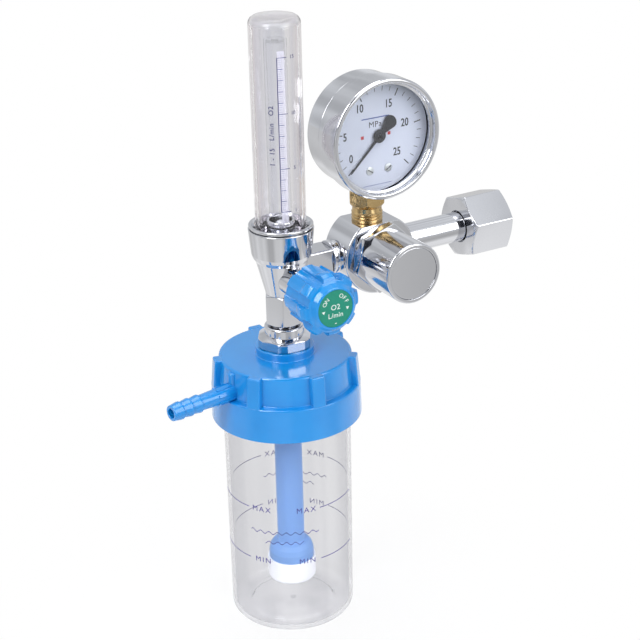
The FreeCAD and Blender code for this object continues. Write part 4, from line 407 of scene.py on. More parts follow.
# Window and its gasket: flat float glass on a black rubber ring.
# The glass is clear with a faint green; the rubber is moulded and dull.
def clear_of(name, code, ior, smooth=0.01, frosted_above=None, highlight_streaks=None, rim=None, coat=1.0, body=1.0):
    """Clear glass or plastic: it lets the light through to what stands inside, and mirrors a little.
    A moulded end can be frosted above a height, painted highlights, pale bands of a width and colour,
    can run up the wall in place of the bright bands that light makes on it, and a thick wall has a tinted rim."""
    material, tree, shader, place = finish_of(
        name, {"Base Color": tone(code), "Coat Weight": coat, "Coat Roughness": 0.03, "Alpha": body,
               "Transmission Weight": 1.0, "IOR": ior}, wave=(14.0, 0.02))
    if highlight_streaks is not None:
        width, highlight_code = highlight_streaks
        # Painted highlight: pale vertical bands stretched up the wall in the base colour stand in for light on
        # the clear wall.
        along = add(tree, "ShaderNodeMapping", {"Scale": (1, 1, 0.02)}, {"Vector": place}).outputs[0]
        highlighted = add(tree, "ShaderNodeMix", {6: tone(code), 7: tone(highlight_code)},
                    {0: uneven(tree, along, width, -0.3, 1.5)}, data_type="RGBA")
        facing = add(tree, "ShaderNodeLayerWeight", {"Blend": 0.13})
        shade = add(tree, "ShaderNodeMix", {7: tone(rim)},
                    {0: facing.outputs["Facing"], 6: highlighted.outputs[2]}, data_type="RGBA")
        tree.links.new(shade.outputs[2], shader.inputs["Base Color"])
    rough = uneven(tree, place, 8.0, smooth, smooth + 0.04)
    if frosted_above is not None:
        height = add(tree, "ShaderNodeSeparateXYZ", links={0: place}).outputs["Z"]
        frost = add(tree, "ShaderNodeMapRange", {"From Min": frosted_above * MM,
                                                 "From Max": (frosted_above + 2.0) * MM, "To Max": 0.3},
                    {"Value": height})
        rough = add(tree, "ShaderNodeMath", links={0: rough, 1: frost.outputs[0]}, operation="ADD").outputs[0]
    tree.links.new(rough, shader.inputs["Roughness"])
    rays = add(tree, "ShaderNodeLightPath")
    through = add(tree, "ShaderNodeBsdfTransparent", {"Color": tone("#FAFAFC")})
    shown = add(tree, "ShaderNodeMixShader", links={0: rays.outputs["Is Shadow Ray"], 1: shader.outputs[0],
                                                    2: through.outputs[0]})
    show(tree, shown)
    return material


def show(tree, shown):
    """Links a last shader node to the material's output."""
    output = next(node for node in tree.nodes if node.type == "OUTPUT_MATERIAL")
    tree.links.new(shown.outputs[0], output.inputs["Surface"])


glass = clear_of("float_glass", "#FBFDFC", 1.5, 0.0, coat=0.0)
turned("gauge_glass", glass, "gauge_window", gauge_axis,
       [(0, 13.05), (29.2, 13.05), (29.2, 14.95), (0, 14.95)], 128)
rubber, *_ = finish_of("moulded_nitrile_rubber", {"Base Color": tone("#17171A")}, rough=(1.5, 0.5, 0.7),
                       wave=(0.5, 0.01))
turned("window_seal", rubber, "window_gasket", gauge_axis,
       [(27.1, 15.0), (29.2, 15.0), (29.2, 15.8), (27.1, 15.8)], 128)

# Dial: a thin aluminium disc in white stove enamel with printed marks, held by two small screws.
# The enamel is cool white with a faint orange peel; the ink lies flat on it.
DIAL_FACE, INK = 10.6, 0.06
INK_TOP = DIAL_FACE + INK
enamel, tree, shader, place = finish_of("white_stove_enamel", {"Roughness": 0.35}, wave=(0.9, 0.004))
two_tone(tree, shader, tone("#D0D5E9"), tone("#D8DCEE"), uneven(tree, place, 20.0, 0.0, 1.0))
turned("dial_disc", enamel, "gauge_dial", gauge_axis,
       [(2.0, 10.1), (27.8, 10.1), (27.8, DIAL_FACE, 0.1), (2.0, DIAL_FACE)], 128)


def ink_of(name, code, gloss=0.4):
    """Screen-printing ink: flat colour with a slightly uneven film."""
    material, tree, shader, place = finish_of(name, {"Roughness": gloss})
    dark = [channel * 0.8 for channel in tone(code)[:3]] + [1.0]
    two_tone(tree, shader, dark, tone(code), uneven(tree, place, 0.8, 0.0, 1.0))
    return material


def polygon(mesh, points, axis, low, high):
    """A flat outline of (x, y) points with a thickness from low to high."""
    bottom, top = ([mesh.verts.new(axis @ Vector((x, y, z))) for x, y in points] for z in (low, high))
    mesh.faces.new(bottom[::-1])
    mesh.faces.new(top)
    for k in range(len(points)):
        after = (k + 1) % len(points)
        mesh.faces.new((bottom[k], bottom[after], top[after], top[k]))


def oblong(mesh, left, right, low, high, axis, back, front):
    """A flat bar between two sides and two heights."""
    polygon(mesh, [(left, low), (right, low), (right, high), (left, high)], axis, back, front)


def pour(mesh, holder, place):
    """Adds an object's evaluated shape to a mesh and removes the object."""
    bpy.context.view_layer.update()
    shape = bpy.data.meshes.new_from_object(holder.evaluated_get(bpy.context.evaluated_depsgraph_get()))
    bpy.data.objects.remove(holder)
    shape.transform(place)
    mesh.from_mesh(shape)
    bpy.data.meshes.remove(shape)


def lettering(mesh, words, size, place, low, high, spacing=1.0, weight=0.0, squeeze=1.0):
    """Sets plain words of a cap height in millimetres, centred, as thin solid letters."""
    curve = bpy.data.curves.new("letters", "FONT")
    curve.body = words
    curve.size = size * 1.4
    curve.offset = weight
    curve.space_character = spacing
    curve.align_x, curve.align_y = "CENTER", "CENTER"
    curve.resolution_u = 4
    curve.extrude = (high - low) / 2
    pour(mesh, placed("letters", curve),
         place @ Matrix.Translation((0, 0, (low + high) / 2)) @ Matrix.Diagonal((squeeze, 1, 1, 1)))


def print_on(name, mesh, material, node):
    """Ink on a node: rides with its body."""
    piece = made_of(name, mesh, material)
    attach(piece, frame["nodes"][node]["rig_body"])


def round_tree(name, sizes, shape_of):
    """A tree that sets copies of a shape round the axis, a step apart, and gives them a material."""
    tree = bpy.data.node_groups.new(name, "GeometryNodeTree")
    tree.interface.new_socket("Geometry", in_out="OUTPUT", socket_type="NodeSocketGeometry")
    for label, kind in dict(sizes, Count="Int", Start="Float", Step="Float", Surface="Material").items():
        tree.interface.new_socket(label, in_out="INPUT", socket_type="NodeSocket" + kind)
    given = add(tree, "NodeGroupInput").outputs
    points = add(tree, "GeometryNodeMeshLine", {"Offset": (0, 0, 0)}, {"Count": given["Count"]})
    index = add(tree, "GeometryNodeInputIndex")
    along = add(tree, "ShaderNodeMath", links={0: index.outputs[0], 1: given["Step"], 2: given["Start"]},
                operation="MULTIPLY_ADD")
    turn = add(tree, "ShaderNodeCombineXYZ", links={"Z": along.outputs[0]})
    copies = add(tree, "GeometryNodeInstanceOnPoints", links={
        "Points": points.outputs["Mesh"], "Instance": shape_of(tree, given), "Rotation": turn.outputs[0]})
    solid = add(tree, "GeometryNodeRealizeInstances", links={"Geometry": copies.outputs[0]})
    made = add(tree, "GeometryNodeSetMaterial", links={"Geometry": solid.outputs[0],
                                                       "Material": given["Surface"]})
    add(tree, "NodeGroupOutput", links={"Geometry": made.outputs[0]})
    return tree


def grow(mesh, tree, values, place):
    """Runs a Geometry Nodes tree with its input values and adds the plain result to a mesh."""
    holder = placed("copies", bpy.data.meshes.new("copies"))
    nodes = holder.modifiers.new("repeat", "NODES")
    nodes.node_group = tree
    for item in tree.interface.items_tree:
        if item.in_out == "INPUT":
            nodes[item.identifier] = values[item.name]
    pour(mesh, holder, place)


def dial_bar(tree, given):
    """A bar that lies along the radius with its outer end at the outer radius."""
    size = add(tree, "ShaderNodeCombineXYZ", links={"X": given["Length"], "Y": given["Width"],
                                                    "Z": given["Thickness"]})
    bar = add(tree, "GeometryNodeMeshCube", links={"Size": size.outputs[0]})
    half = add(tree, "ShaderNodeMath", {1: 0.5}, {0: given["Length"]}, operation="MULTIPLY")
    middle = add(tree, "ShaderNodeMath", links={0: given["Outer radius"], 1: half.outputs[0]},
                 operation="SUBTRACT")
    out = add(tree, "ShaderNodeCombineXYZ", links={"X": middle.outputs[0]})
    return add(tree, "GeometryNodeTransform", links={"Geometry": bar.outputs["Mesh"],
                                                     "Translation": out.outputs[0]}).outputs[0]


dial_black = ink_of("dial_black_ink", "#1B1D2B")
dial_blue = ink_of("dial_blue_ink", "#3A55A8")
dial_red = ink_of("dial_red_ink", "#C8323C")
marks = round_tree("marks round an arc", {label: "Float" for label in
                                          ("Outer radius", "Length", "Width", "Thickness")}, dial_bar)
mesh = bmesh.new()
for length, width, count, step in ((3.8, 0.5, 6, 54.0), (2.3, 0.28, 26, 10.8)):
    grow(mesh, marks, {"Outer radius": 24.4, "Length": length, "Width": width, "Thickness": INK,
                       "Start": radians(-45), "Step": radians(step), "Count": count, "Surface": dial_black},
         gauge_axis @ Matrix.Translation((0, 0, DIAL_FACE + INK / 2)))
for words, x, z in (("0", -15.7, -9.2), ("5", -18.9, 2.1), ("10", -10.6, 14.8), ("15", 5.7, 15.0),
                    ("20", 15.0, 4.0), ("25", 10.5, -9.9)):
    lettering(mesh, words, 4.0, gauge_axis @ Matrix.Translation((x, z, 0)), DIAL_FACE, INK_TOP,
              weight=0.09, squeeze=0.78)
lettering(mesh, "MPa", 2.9, gauge_axis @ Matrix.Translation((-1.9, 5.9, 0)), DIAL_FACE, INK_TOP, spacing=1.1)
print_on("dial_figures", mesh, dial_black, "gauge_dial")
mesh = bmesh.new()
oblong(mesh, -9.6, 6.0, 9.0, 9.5, gauge_axis, DIAL_FACE, INK_TOP)
oblong(mesh, -8.9, 7.2, -24.7, -24.5, gauge_axis, DIAL_FACE, INK_TOP)
print_on("dial_blue_lines", mesh, dial_blue, "gauge_dial")
mesh = bmesh.new()
for x in (-9.2, 6.0):
    oblong(mesh, x - 0.8, x + 0.8, -0.5, 1.1, gauge_axis, DIAL_FACE, INK_TOP)
print_on("dial_red_squares", mesh, dial_red, "gauge_dial")

# Dial screws: zinc-plated steel, slotted, one at each side below the middle.
# The slots are bars of black ink on the heads: painted shade for the slots' hollows, and dirt.
steel, *_ = finish_of("zinc_plated_steel", {"Metallic": 1.0, "Base Color": tone("#DADCE0")},
                      rough=(1.2, 0.32, 0.5))
heads, slot_shade_bars = bmesh.new(), bmesh.new()
for side in (-1, 1):
    seat = at("front", REG_X + side * 5.2, 0, GAUGE_Z - 17.0)
    spun(heads, [(0, 8.9), (1.0, 8.9), (1.0, DIAL_FACE), (2.1, DIAL_FACE, 0.1), (2.1, 11.0, 0.4), (0, 11.5)],
         seat, 40)
    # Painted shade: a black ink bar on each head for the dark hollow of its slot.
    oblong(slot_shade_bars, -1.6, 1.6, -0.2, 0.2, seat @ Matrix.Rotation(radians(35 * side), 4, "Z"), 11.2, 11.52)
finish("dial_screw_heads", heads, steel, "dial_screws")
print_on("dial_screw_slots", slot_shade_bars, dial_black, "dial_screws")

# Pointer: thin aluminium in black baked lacquer, pressed on the arbor.
# A fine needle with a broad balancing tail and a domed hub; at rest it points at zero.
paint, *_ = finish_of("black_baked_lacquer", {"Base Color": tone("#25262E")}, rough=(2.0, 0.25, 0.4))
ZERO_TURN = 225.0
mesh = bmesh.new()
blade = [(1.0, 0.75), (-1.5, 0.9), (-8.4, 3.6)]
for k in range(9):
    sweep = radians(116 + 16 * k)
    blade.append((-8.0 + 3.8 * cos(sweep), 4.0 * sin(sweep)))
blade += [(-8.4, -3.6), (-1.5, -0.9), (1.0, -0.75), (22.6, -0.3), (23.5, 0.0), (22.6, 0.3)]
polygon(mesh, blade, gauge_axis @ Matrix.Rotation(radians(ZERO_TURN), 4, "Z"), 11.4, 11.9)
spun(mesh, [(0, 11.35), (3.4, 11.35), (3.4, 12.0, 0.2), (1.3, 12.05), (1.2, 12.5, 0.2), (0, 12.5)],
     gauge_axis, 48)
finish("pointer_needle", mesh, paint, "pointer", bevel=0.08, crease=35)


# Inside the gauge and the regulator: movement, valve and springs, which nothing shows from outside.
# They stay as the CAD made them, in brass, zinc-plated steel, copper and rubber.
def dress(material, *nodes):
    """Gives CAD nodes that stay in the scene their material."""
    for node in nodes:
        frame["nodes"][node].data.materials.clear()
        frame["nodes"][node].data.materials.append(material)


copper, *_ = finish_of("annealed_copper", {"Metallic": 1.0, "Base Color": tone("#C27C55")},
                       rough=(2.0, 0.3, 0.5))
dress(brass, "bourdon_tube", "tube_tip", "sector_gear", "tip_link", "movement_back_plate",
      "movement_front_plate", "plate_pillars", "hairspring", "valve_nozzle", "poppet", "diaphragm_plate",
      "spring_seat", "valve_spindle")
dress(steel, "pinion_arbor", "movement_screws", "main_spring", "poppet_spring", "adjusting_screw",
      "knob_screw")
dress(copper, "socket_washer")
dress(rubber, "diaphragm", "cover_o_ring", "spindle_o_ring", "lower_tube_seal")
dress(nylon, "boss_washer", "bottle_gasket")

# Flow meter forging: cup, cone, hexagon foot, square arm and valve boss pressed from one piece of brass.
# Polished and plated bright; the post in the cup carries the metering tube.
mesh = bmesh.new()
spun(mesh, [(0, -12.6), (8.7, -12.6), (8.7, -12.0), (12.9, 4.6, 1.5), (14.3, 6.6, 1.5), (14.9, 8.5, 1.5),
            (16.15, 21.4, 0.4), (14.95, 21.4, 0.2), (14.95, 14.7), (9.0, 14.7, 1.0), (6.9, 17.7, 1.0),
            (6.9, 25.5, 0.6), (5.6, 25.5), (5.6, 18.2), (0, 18.2)], flow_axis, 144)
hexed(mesh, [(0, -28.6), (7.9, -28.6), (10.4, -27.4), (10.4, -13.8), (7.9, -12.2), (0, -12.2)], 17.0, 9.7,
      flow_axis, edge=0.25)
spun(mesh, [(0, -2.0), (7.0, -2.0), (7.0, 21.0, 0.5), (4.85, 21.0), (4.85, 19.5), (0, 19.5)], knob_axis)
spun(mesh, [(0, 24.0), (6.2, 24.0), (6.2, 37.4), (0, 37.4)], arm_axis, 64)
polygon(mesh, [(-5.7, -6.5), (5.7, -6.5), (6.5, -5.7), (6.5, 5.7), (5.7, 6.5), (-5.7, 6.5), (-6.5, 5.7),
               (-6.5, -5.7)], arm_axis, 6.0, 25.2)
finish("flow_body_forging", mesh, chrome, "flowmeter_body", bevel=0.25, crease=38)

# Clamp ring: screws into the cup and holds the cover down by its flange.
# Turned from brass and plated like the cup.
turned("cover_clamp_ring", chrome, "clamp_ring", flow_axis,
       [(14.05, 14.9), (14.4, 14.9), (14.4, 22.1), (15.8, 22.1, 0.2), (15.8, 23.4, 0.4), (14.4, 23.4, 0.2),
        (12.85, 21.2, 0.2), (12.85, 20.0), (14.05, 20.0)], 144)

# Tube cover and metering tube: clear polycarbonate and acrylic, moulded, with a polished inside.
# Thick edges look greyer and very slightly pink where the light runs along the wall.
# The cover's pale vertical bands are painted highlights.
polycarbonate = clear_of("clear_polycarbonate", "#F0F1F7", 1.12, frosted_above=120.0,
                         highlight_streaks=(4.5, "#FFFFFF"), rim="#F6E0DE")
acrylic = clear_of("clear_acrylic", "#FDFDFE", 1.05, coat=0.4, body=0.5)
soft_clear = clear_of("clear_silicone_rubber", "#FDFDFE", 1.02, 0.1, coat=0.1, body=0.15)
turned("flow_cover_tube", polycarbonate, "tube_cover", flow_axis,
       [(0, 125.1), (12.35, 124.6, 3.6), (12.35, 20.3, 0.3), (13.9, 19.9, 0.3), (13.9, 16.5, 0.2),
        (10.85, 16.5), (10.35, 22.5, 0.5), (10.35, 122.5, 2.6), (0, 122.5)], 128)
turned("metering_tube_bore", acrylic, "metering_tube", flow_axis,
       [(3.1, 19.8), (5.5, 19.8, 0.2), (5.5, 113.8, 0.2), (4.3, 113.8)])
turned("upper_tube_cap", soft_clear, "upper_tube_seal", flow_axis,
       [(5.55, 109.8), (6.9, 109.8, 0.3), (6.9, 122.45, 0.3), (3.5, 122.45), (3.5, 113.85),
        (5.55, 113.85)], 64)
stop_low, stop_high = (corner.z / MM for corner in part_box("float_stop"))
turned("float_stop_plug", soft_clear, "float_stop", flow_axis,
       [(1.6, stop_low), (4.1, stop_low, 0.2), (4.1, stop_high, 0.2), (1.6, stop_high)], 48)
ball_low, ball_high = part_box("float_ball")
mesh = bmesh.new()
bmesh.ops.create_icosphere(mesh, subdivisions=4, radius=(ball_high.z - ball_low.z) / 2,
                           matrix=Matrix.Translation((ball_low + ball_high) / 2))
finish("float_ball_steel", mesh, steel, "float_ball")

# Flow scale: an opal stripe up the metering tube, which is also a painted highlight for the bright band
# of light along the tube, and navy ink on the cover: a line with graduations and figures beside it.
COVER_R, SCALE_LOW, SCALE_HIGH, SCALE_STEPS = 12.35, 33.2, 107.7, 14
BAR_FACES = ((0, 1, 2, 3), (7, 6, 5, 4), (0, 4, 5, 1), (1, 5, 6, 2), (2, 6, 7, 3), (3, 7, 4, 0))
flat_print = Matrix(((1, 0, 0, 0), (0, 0, 1, 0), (0, 1, 0, 0), (0, 0, 0, 1)))


def wrap(mesh, radius, turn):
    """Bends flat print in millimetres, x along the girth and z as height, round the flow tube's axis."""
    bmesh.ops.triangulate(mesh, faces=mesh.faces)
    for vert in mesh.verts:
        girth, lift, height = vert.co
        angle = radians(turn) + girth / radius
        reach = radius + lift
        vert.co = Vector((FLOW_X + reach * cos(angle), reach * sin(angle), height)) * MM
    bmesh.ops.recalc_face_normals(mesh, faces=mesh.faces)


def dab(mesh, corners):
    """A thin printed block over four (x, z) corners."""
    ends = [mesh.verts.new((x, lift, z)) for lift in (0.0, INK) for x, z in corners]
    for face in BAR_FACES:
        mesh.faces.new([ends[i] for i in face])


def flat_bar(mesh, x0, x1, z0, z1):
    """A printed bar, cut into short lengths so that it can bend."""
    pieces = max(1, int(abs(x1 - x0) / 1.5))
    for k in range(pieces):
        a = x0 + (x1 - x0) * k / pieces
        b = x0 + (x1 - x0) * (k + 1) / pieces
        dab(mesh, ((a, z0), (b, z0), (b, z1), (a, z1)))


# Painted highlight: the white stripe also gives the bright band that light makes along the metering tube.
opal_and_highlight, *_ = finish_of("opal_glaze_and_painted_highlight", {"Base Color": tone("#ECEBF8"), "Roughness": 0.3,
                                          "Transmission Weight": 0.35, "Alpha": 0.5}, wave=(1.5, 0.01))
mesh = bmesh.new()
flat_bar(mesh, -1.9, 1.9, 20.5, 109.0)
wrap(mesh, 5.52, -92.0)
print_on("opal_stripe", mesh, opal_and_highlight, "metering_tube")
navy = ink_of("navy_screen_ink", "#2B2F6B")
rise = (SCALE_HIGH - SCALE_LOW) / SCALE_STEPS
mesh = bmesh.new()
flat_bar(mesh, -0.19, 0.19, SCALE_LOW, SCALE_HIGH)
for k in range(SCALE_STEPS + 1):
    height = SCALE_LOW + rise * k
    figure = {0: "1", 4: "5", 9: "10", 14: "15"}.get(k)
    flat_bar(mesh, 0.19, 4.6 if figure else 2.5, height - 0.15, height + 0.15)
    if figure:
        lettering(mesh, figure, 1.8, flat_print @ Matrix.Translation((7.4, height, 0)), 0.0, INK)
    for fine in range(1, 5 if k < SCALE_STEPS else 1):
        between = height + rise * fine / 5
        flat_bar(mesh, 0.19, 1.9, between - 0.05, between + 0.05)
upright = Matrix.Translation((-3.4, 70.5, 0)) @ Matrix.Rotation(radians(90), 4, "Z")
lettering(mesh, "1 - 15   L/min   O2", 2.4, flat_print @ upright, 0.0, INK, 1.12, 0.03)
wrap(mesh, COVER_R + 0.02, -116.0)
print_on("flow_scale", mesh, navy, "tube_cover")

# Needle valve: gland nut, brass spindle and a moulded knob with eight lobes, held by a hidden screw.
# The knob is glossy acetal in sky blue; its label is a green disc with white print.
mesh = bmesh.new()
spun(mesh, [(2.3, 16.9), (4.8, 16.9), (4.8, 21.1), (2.3, 21.1)], knob_axis, 48)
hexed(mesh, [(2.3, 21.05), (5.3, 21.05), (6.6, 21.5), (6.6, 22.9), (5.3, 23.4), (2.3, 23.4)], 11.0,
      6.25, knob_axis, edge=0.15)
finish("gland_nut_hexagon", mesh, chrome, "gland_nut")

knob_plastic, tree, shader, place = finish_of(
    "moulded_sky_blue_acetal", {"Roughness": 0.17, "Coat Weight": 0.4, "Coat Roughness": 0.08},
    wave=(2.0, 0.015))
two_tone(tree, shader, tone("#0884CF"), tone("#128DD9"), uneven(tree, place, 10.0, 0.0, 1.0))
LOBES, LOBE_TURN, CORE_R, GROOVE_HALF, GROOVE_END = 8, 5.0, 13.0, 2.2, 46.0
COLLAR_TOP, KNOB_COLUMNS, LABEL_FACE, LABEL_TOP = 48.0, 384, 50.35, 50.4


def soft_least(a, b, blend):
    """The smaller of two radii, with the corner between them rounded."""
    share = max(0.0, min(1.0, 0.5 + 0.5 * (b - a) / blend))
    return b + (a - b) * share - blend * share * (1 - share)


def groove_radius(angle, height):
    """How far out the knob reaches in a groove: a flat floor, steep walls and a rounded front end."""
    step = 2 * pi / LOBES
    off = CORE_R * ((angle - radians(LOBE_TURN)) % step - step / 2)
    beyond = hypot(off, max(0.0, height - GROOVE_END)) - GROOVE_HALF
    return CORE_R + 4.5 * max(0.0, beyond)


def grooved(height):
    """What holds the knob's radius back at a height, up to its collar."""
    if height >= COLLAR_TOP:
        return None
    return lambda radius, angle: soft_least(radius, groove_radius(angle, height), 0.15)


side = eased([(12.9, 26.0), (14.0, 26.0, 0.9), (14.15, 38.4, 2.0), (15.6, 41.4, 2.0), (15.8, 44.6, 1.5),
              (14.6, 46.9, 1.5), (12.7, 47.5, 0.5), (11.9, 48.1, 0.5), (10.4, 50.2, 0.3), (9.95, 50.5, 0.2),
              (9.4, 50.5)])
dense = [a.lerp(b, k / 4) for a, b in zip(side[1:], side[2:]) for k in range(4)] + [side[-1]]
hollow = [(0, 29.0), (2.35, 29.0), (5.0, 29.0), (5.0, 42.0), (10.3, 42.0), (10.9, 26.3), (11.3, 26.0)]
label_seat = [(9.35, 50.4), (9.35, 49.85), (0, 49.85)]
mesh = bmesh.new()
skin(mesh, [ring(r, h, knob_axis, KNOB_COLUMNS) for r, h in hollow]
     + [ring(r, h, knob_axis, KNOB_COLUMNS, grooved(h)) for r, h in dense]
     + [ring(r, h, knob_axis, KNOB_COLUMNS) for r, h in label_seat])
finish("knob_moulding", mesh, knob_plastic, "knob", crease=30)

label_green = ink_of("green_label_film", "#008C72", 0.45)
label_white = ink_of("white_label_ink", "#E9F5EF", 0.35)
turned("knob_label_disc", label_green, "knob_label", knob_axis,
       [(0, 49.85), (9.3, 49.85), (9.3, LABEL_FACE, 0.1), (0, LABEL_FACE)])


def on_label(turn):
    """A place on the label's circle of words, its top outwards."""
    angle = radians(turn)
    spot = Matrix.Translation((6.5 * cos(angle), 6.5 * sin(angle), 0))
    return knob_axis @ spot @ Matrix.Rotation(angle - pi / 2, 4, "Z")


mesh = bmesh.new()
for words, middle in (("ON", 142), ("OFF", 42)):
    for k, letter in enumerate(words):
        turn = middle - (k - (len(words) - 1) / 2) * 19
        lettering(mesh, letter, 2.1, on_label(turn), LABEL_FACE, LABEL_TOP)
for middle, lean in ((188, 1), (-8, -1)):
    polygon(mesh, [(-0.9 * lean, 0), (0.6 * lean, 0.9), (0.6 * lean, -0.9)], on_label(middle), LABEL_FACE,
            LABEL_TOP)
for words, z, size in (("O2", 0.6, 2.7), ("L/min", -3.4, 2.5)):
    lettering(mesh, words, size, knob_axis @ Matrix.Translation((0, z, 0)), LABEL_FACE, LABEL_TOP, 1.05, 0.01)
oblong(mesh, -0.5, 0.5, -7.7, -7.3, knob_axis, LABEL_FACE, LABEL_TOP)
bmesh.ops.recalc_face_normals(mesh, faces=mesh.faces)
print_on("knob_label_print", mesh, label_white, "knob_label")

# Outlet tail and coupling nut: the swivel under the forging that carries the humidifier.
# Both are turned brass, plated bright; the nut hangs on the tail's flange.
turned("outlet_tail_stem", chrome, "outlet_tail", flow_axis,
       [(2.5, -48.6), (8.6, -48.6, 0.2), (8.6, -46.6, 0.3), (6.3, -46.6), (6.3, -28.65, 0.2),
        (5.2, -28.65), (5.2, -21.6), (2.5, -21.6)], 72)
mesh = bmesh.new()
hexed(mesh, [(6.8, -40.3), (12.7, -40.3), (15.5, -39.4), (15.5, -36.2), (9.6, -34.2), (6.8, -34.2)],
      25.7, 13.7, flow_axis, turn=-2.6)
spun(mesh, [(6.8, -46.3), (9.4, -46.3, 0.4), (9.4, -39.8), (9.9, -39.8), (9.9, -29.5, 1.0),
            (7.6, -29.5, 0.3), (6.8, -30.7, 0.3)], flow_axis, 120)
finish("coupling_nut_hexagon", mesh, chrome, "coupling_nut", crease=25)

# Humidifier cap: one injection moulding in glossy blue ABS with six grip lugs, a threaded boss,
# a deep skirt and the ridged hose tail. The gloss is high, with slight sink marks.
cap_plastic, tree, shader, place = finish_of(
    "moulded_gloss_blue_abs", {"Roughness": 0.2, "Coat Weight": 0.7, "Coat Roughness": 0.1},
    wave=(9.0, 0.05))
two_tone(tree, shader, tone("#0C85D3"), tone("#1690DC"), uneven(tree, place, 25.0, 0.0, 1.0))
mesh = bmesh.new()
spun(mesh, [(3.2, -50.1), (9.45, -50.1), (9.45, -40.4, 0.2), (14.7, -40.4, 0.6), (14.7, -44.5, 0.5),
            (33.2, -44.5, 1.3), (34.3, -59.3, 0.5), (37.5, -59.7, 0.9), (38.0, -77.2, 0.4),
            (35.6, -77.2, 0.2), (35.1, -62.1), (31.6, -62.1), (31.6, -47.5), (11.5, -47.5), (11.5, -60.0),
            (7.05, -60.0), (7.05, -53.1), (3.2, -53.1)], flow_axis, 192)

LUG_IN, LUG_OUT_LOW, LUG_OUT_HIGH, LUG_HALF, LUG_LOW, LUG_HIGH = 32.0, 37.6, 36.2, 3.5, -60.4, -44.4
lug_mesh = bmesh.new()
low, high = ([lug_mesh.verts.new((x, y, z)) for x, y in ((LUG_IN, -LUG_HALF), (out, -LUG_HALF),
                                                         (out, LUG_HALF), (LUG_IN, LUG_HALF))]
             for out, z in ((LUG_OUT_LOW, LUG_LOW), (LUG_OUT_HIGH, LUG_HIGH)))
lug_mesh.faces.new(low[::-1])
lug_mesh.faces.new(high)
for k in range(4):
    after = (k + 1) % 4
    lug_mesh.faces.new((low[k], low[after], high[after], high[k]))
bmesh.ops.bevel(lug_mesh, geom=lug_mesh.edges, offset=0.8, segments=5, profile=0.5, affect="EDGES")
lug = made_of("grip lug", lug_mesh, cap_plastic)
lugs = round_tree("lugs round the cap", {"Lug": "Object"}, lambda tree, given: add(
    tree, "GeometryNodeObjectInfo", links={"Object": given["Lug"]}).outputs["Geometry"])
for first, count in ((163.0, 5), (87.0, 1)):
    grow(mesh, lugs, {"Lug": lug, "Count": count, "Start": radians(first), "Step": radians(52.0),
                      "Surface": cap_plastic}, flow_axis)
bpy.data.objects.remove(lug)

BARB_TURN, BARB_Z, BARB_END = radians(189.0), -56.0, 70.0
barb = Matrix.Scale(MM, 4) @ Matrix(((-sin(BARB_TURN), 0, cos(BARB_TURN), FLOW_X),
                                     (cos(BARB_TURN), 0, sin(BARB_TURN), 0), (0, 1, 0, BARB_Z),
                                     (0, 0, 0, 1)))
ridges = [(4.5, 32.6), (4.5, 36.6, 0.5), (3.9, 53.8)]
for k in range(3):
    start = 53.8 + 5.4 * k
    ridges += [(4.6, start, 0.25), (4.6, start + 1.0, 0.2), (3.9, start + 5.4)]
spun(mesh, ridges[:-1] + [(3.9, BARB_END, 0.4), (2.5, BARB_END, 0.2), (2.5, 32.6)], barb, 64)
for k in range(4):
    oblong(mesh, -0.6, 0.6, -4.7, 4.7, barb @ Matrix.Rotation(radians(22.5 + 45 * k), 4, "Z"), 33.0, 44.0)
root_axis = at("up", FLOW_X + 33.2 * cos(BARB_TURN), 33.2 * sin(BARB_TURN), 0)
spun(mesh, [(0, -56.0), (2.4, -56.0), (2.4, -46.0, 1.0), (0, -46.0)], root_axis, 40)
finish("humidifier_cap_moulding", mesh, cap_plastic, "humidifier_cap", crease=35)

# Dip tube and diffuser: a translucent blue tube with a bell, and a white cup snapped over its mouth.
# Both are moulded, in polypropylene and polyethylene, and hang from the cap's socket.
tube_plastic, *_ = finish_of("translucent_blue_polypropylene",
                             {"Base Color": tone("#97C2FA"), "Transmission Weight": 0.4, "IOR": 1.3},
                             rough=(5.0, 0.3, 0.4), wave=(6.0, 0.02))
turned("dip_tube_and_bell", tube_plastic, "dip_tube", flow_axis,
       [(6.0, -53.15), (7.0, -53.15), (7.0, -152.0, 0.8), (9.2, -153.2, 0.8), (10.8, -155.2, 0.8),
        (11.6, -158.0, 0.8), (11.6, -165.0), (10.6, -165.0), (10.6, -158.0), (9.8, -155.6), (8.4, -154.0),
        (6.0, -152.6)])
cup_plastic, *_ = finish_of("white_polyethylene", {"Base Color": tone("#F1F3F8"), "Subsurface Weight": 0.3,
                                                   "Subsurface Radius": (0.002, 0.002, 0.002)},
                            rough=(4.0, 0.3, 0.42), wave=(2.0, 0.02))
turned("diffuser_cup", cup_plastic, "diffuser", flow_axis,
       [(0, -174.5), (12.5, -174.5, 2.5), (12.5, -162.0, 0.3), (11.65, -162.0), (11.65, -165.05),
        (10.45, -165.05), (10.45, -172.1), (9.25, -173.3), (0, -173.3)])

# Bottle: injection-blown clear polycarbonate with a screw neck, a rounded foot and a pushed-up base.
# The wall is even and glossy; the base shows the mould's gate as a small nub.
# The bottle's pale vertical bands are painted highlights.
bottle_plastic = clear_of("clear_bottle_plastic", "#EEEEF0", 1.05, highlight_streaks=(16.0, "#F8F8F9"),
                          rim="#B8B8BE", coat=0.25)
mesh = bmesh.new()
spun(mesh, [(0, -188.9), (21.0, -188.9, 0.8), (22.6, -190.5, 0.8), (31.9, -190.5, 4.6), (32.3, -65.9, 0.6),
            (31.2, -64.3, 0.6), (31.2, -48.8, 0.4), (29.3, -48.8, 0.4), (29.3, -64.6, 0.6),
            (30.4, -66.6, 0.6), (30.0, -188.6, 3.4), (23.2, -188.6, 0.6), (21.8, -187.0, 0.5), (0, -187.0)],
     flow_axis, 192)
spun(mesh, [(0, -188.8), (1.5, -188.8), (1.3, -189.8, 0.4), (0, -189.8)], flow_axis, 24)
finish("bottle_shell", mesh, bottle_plastic, "bottle")

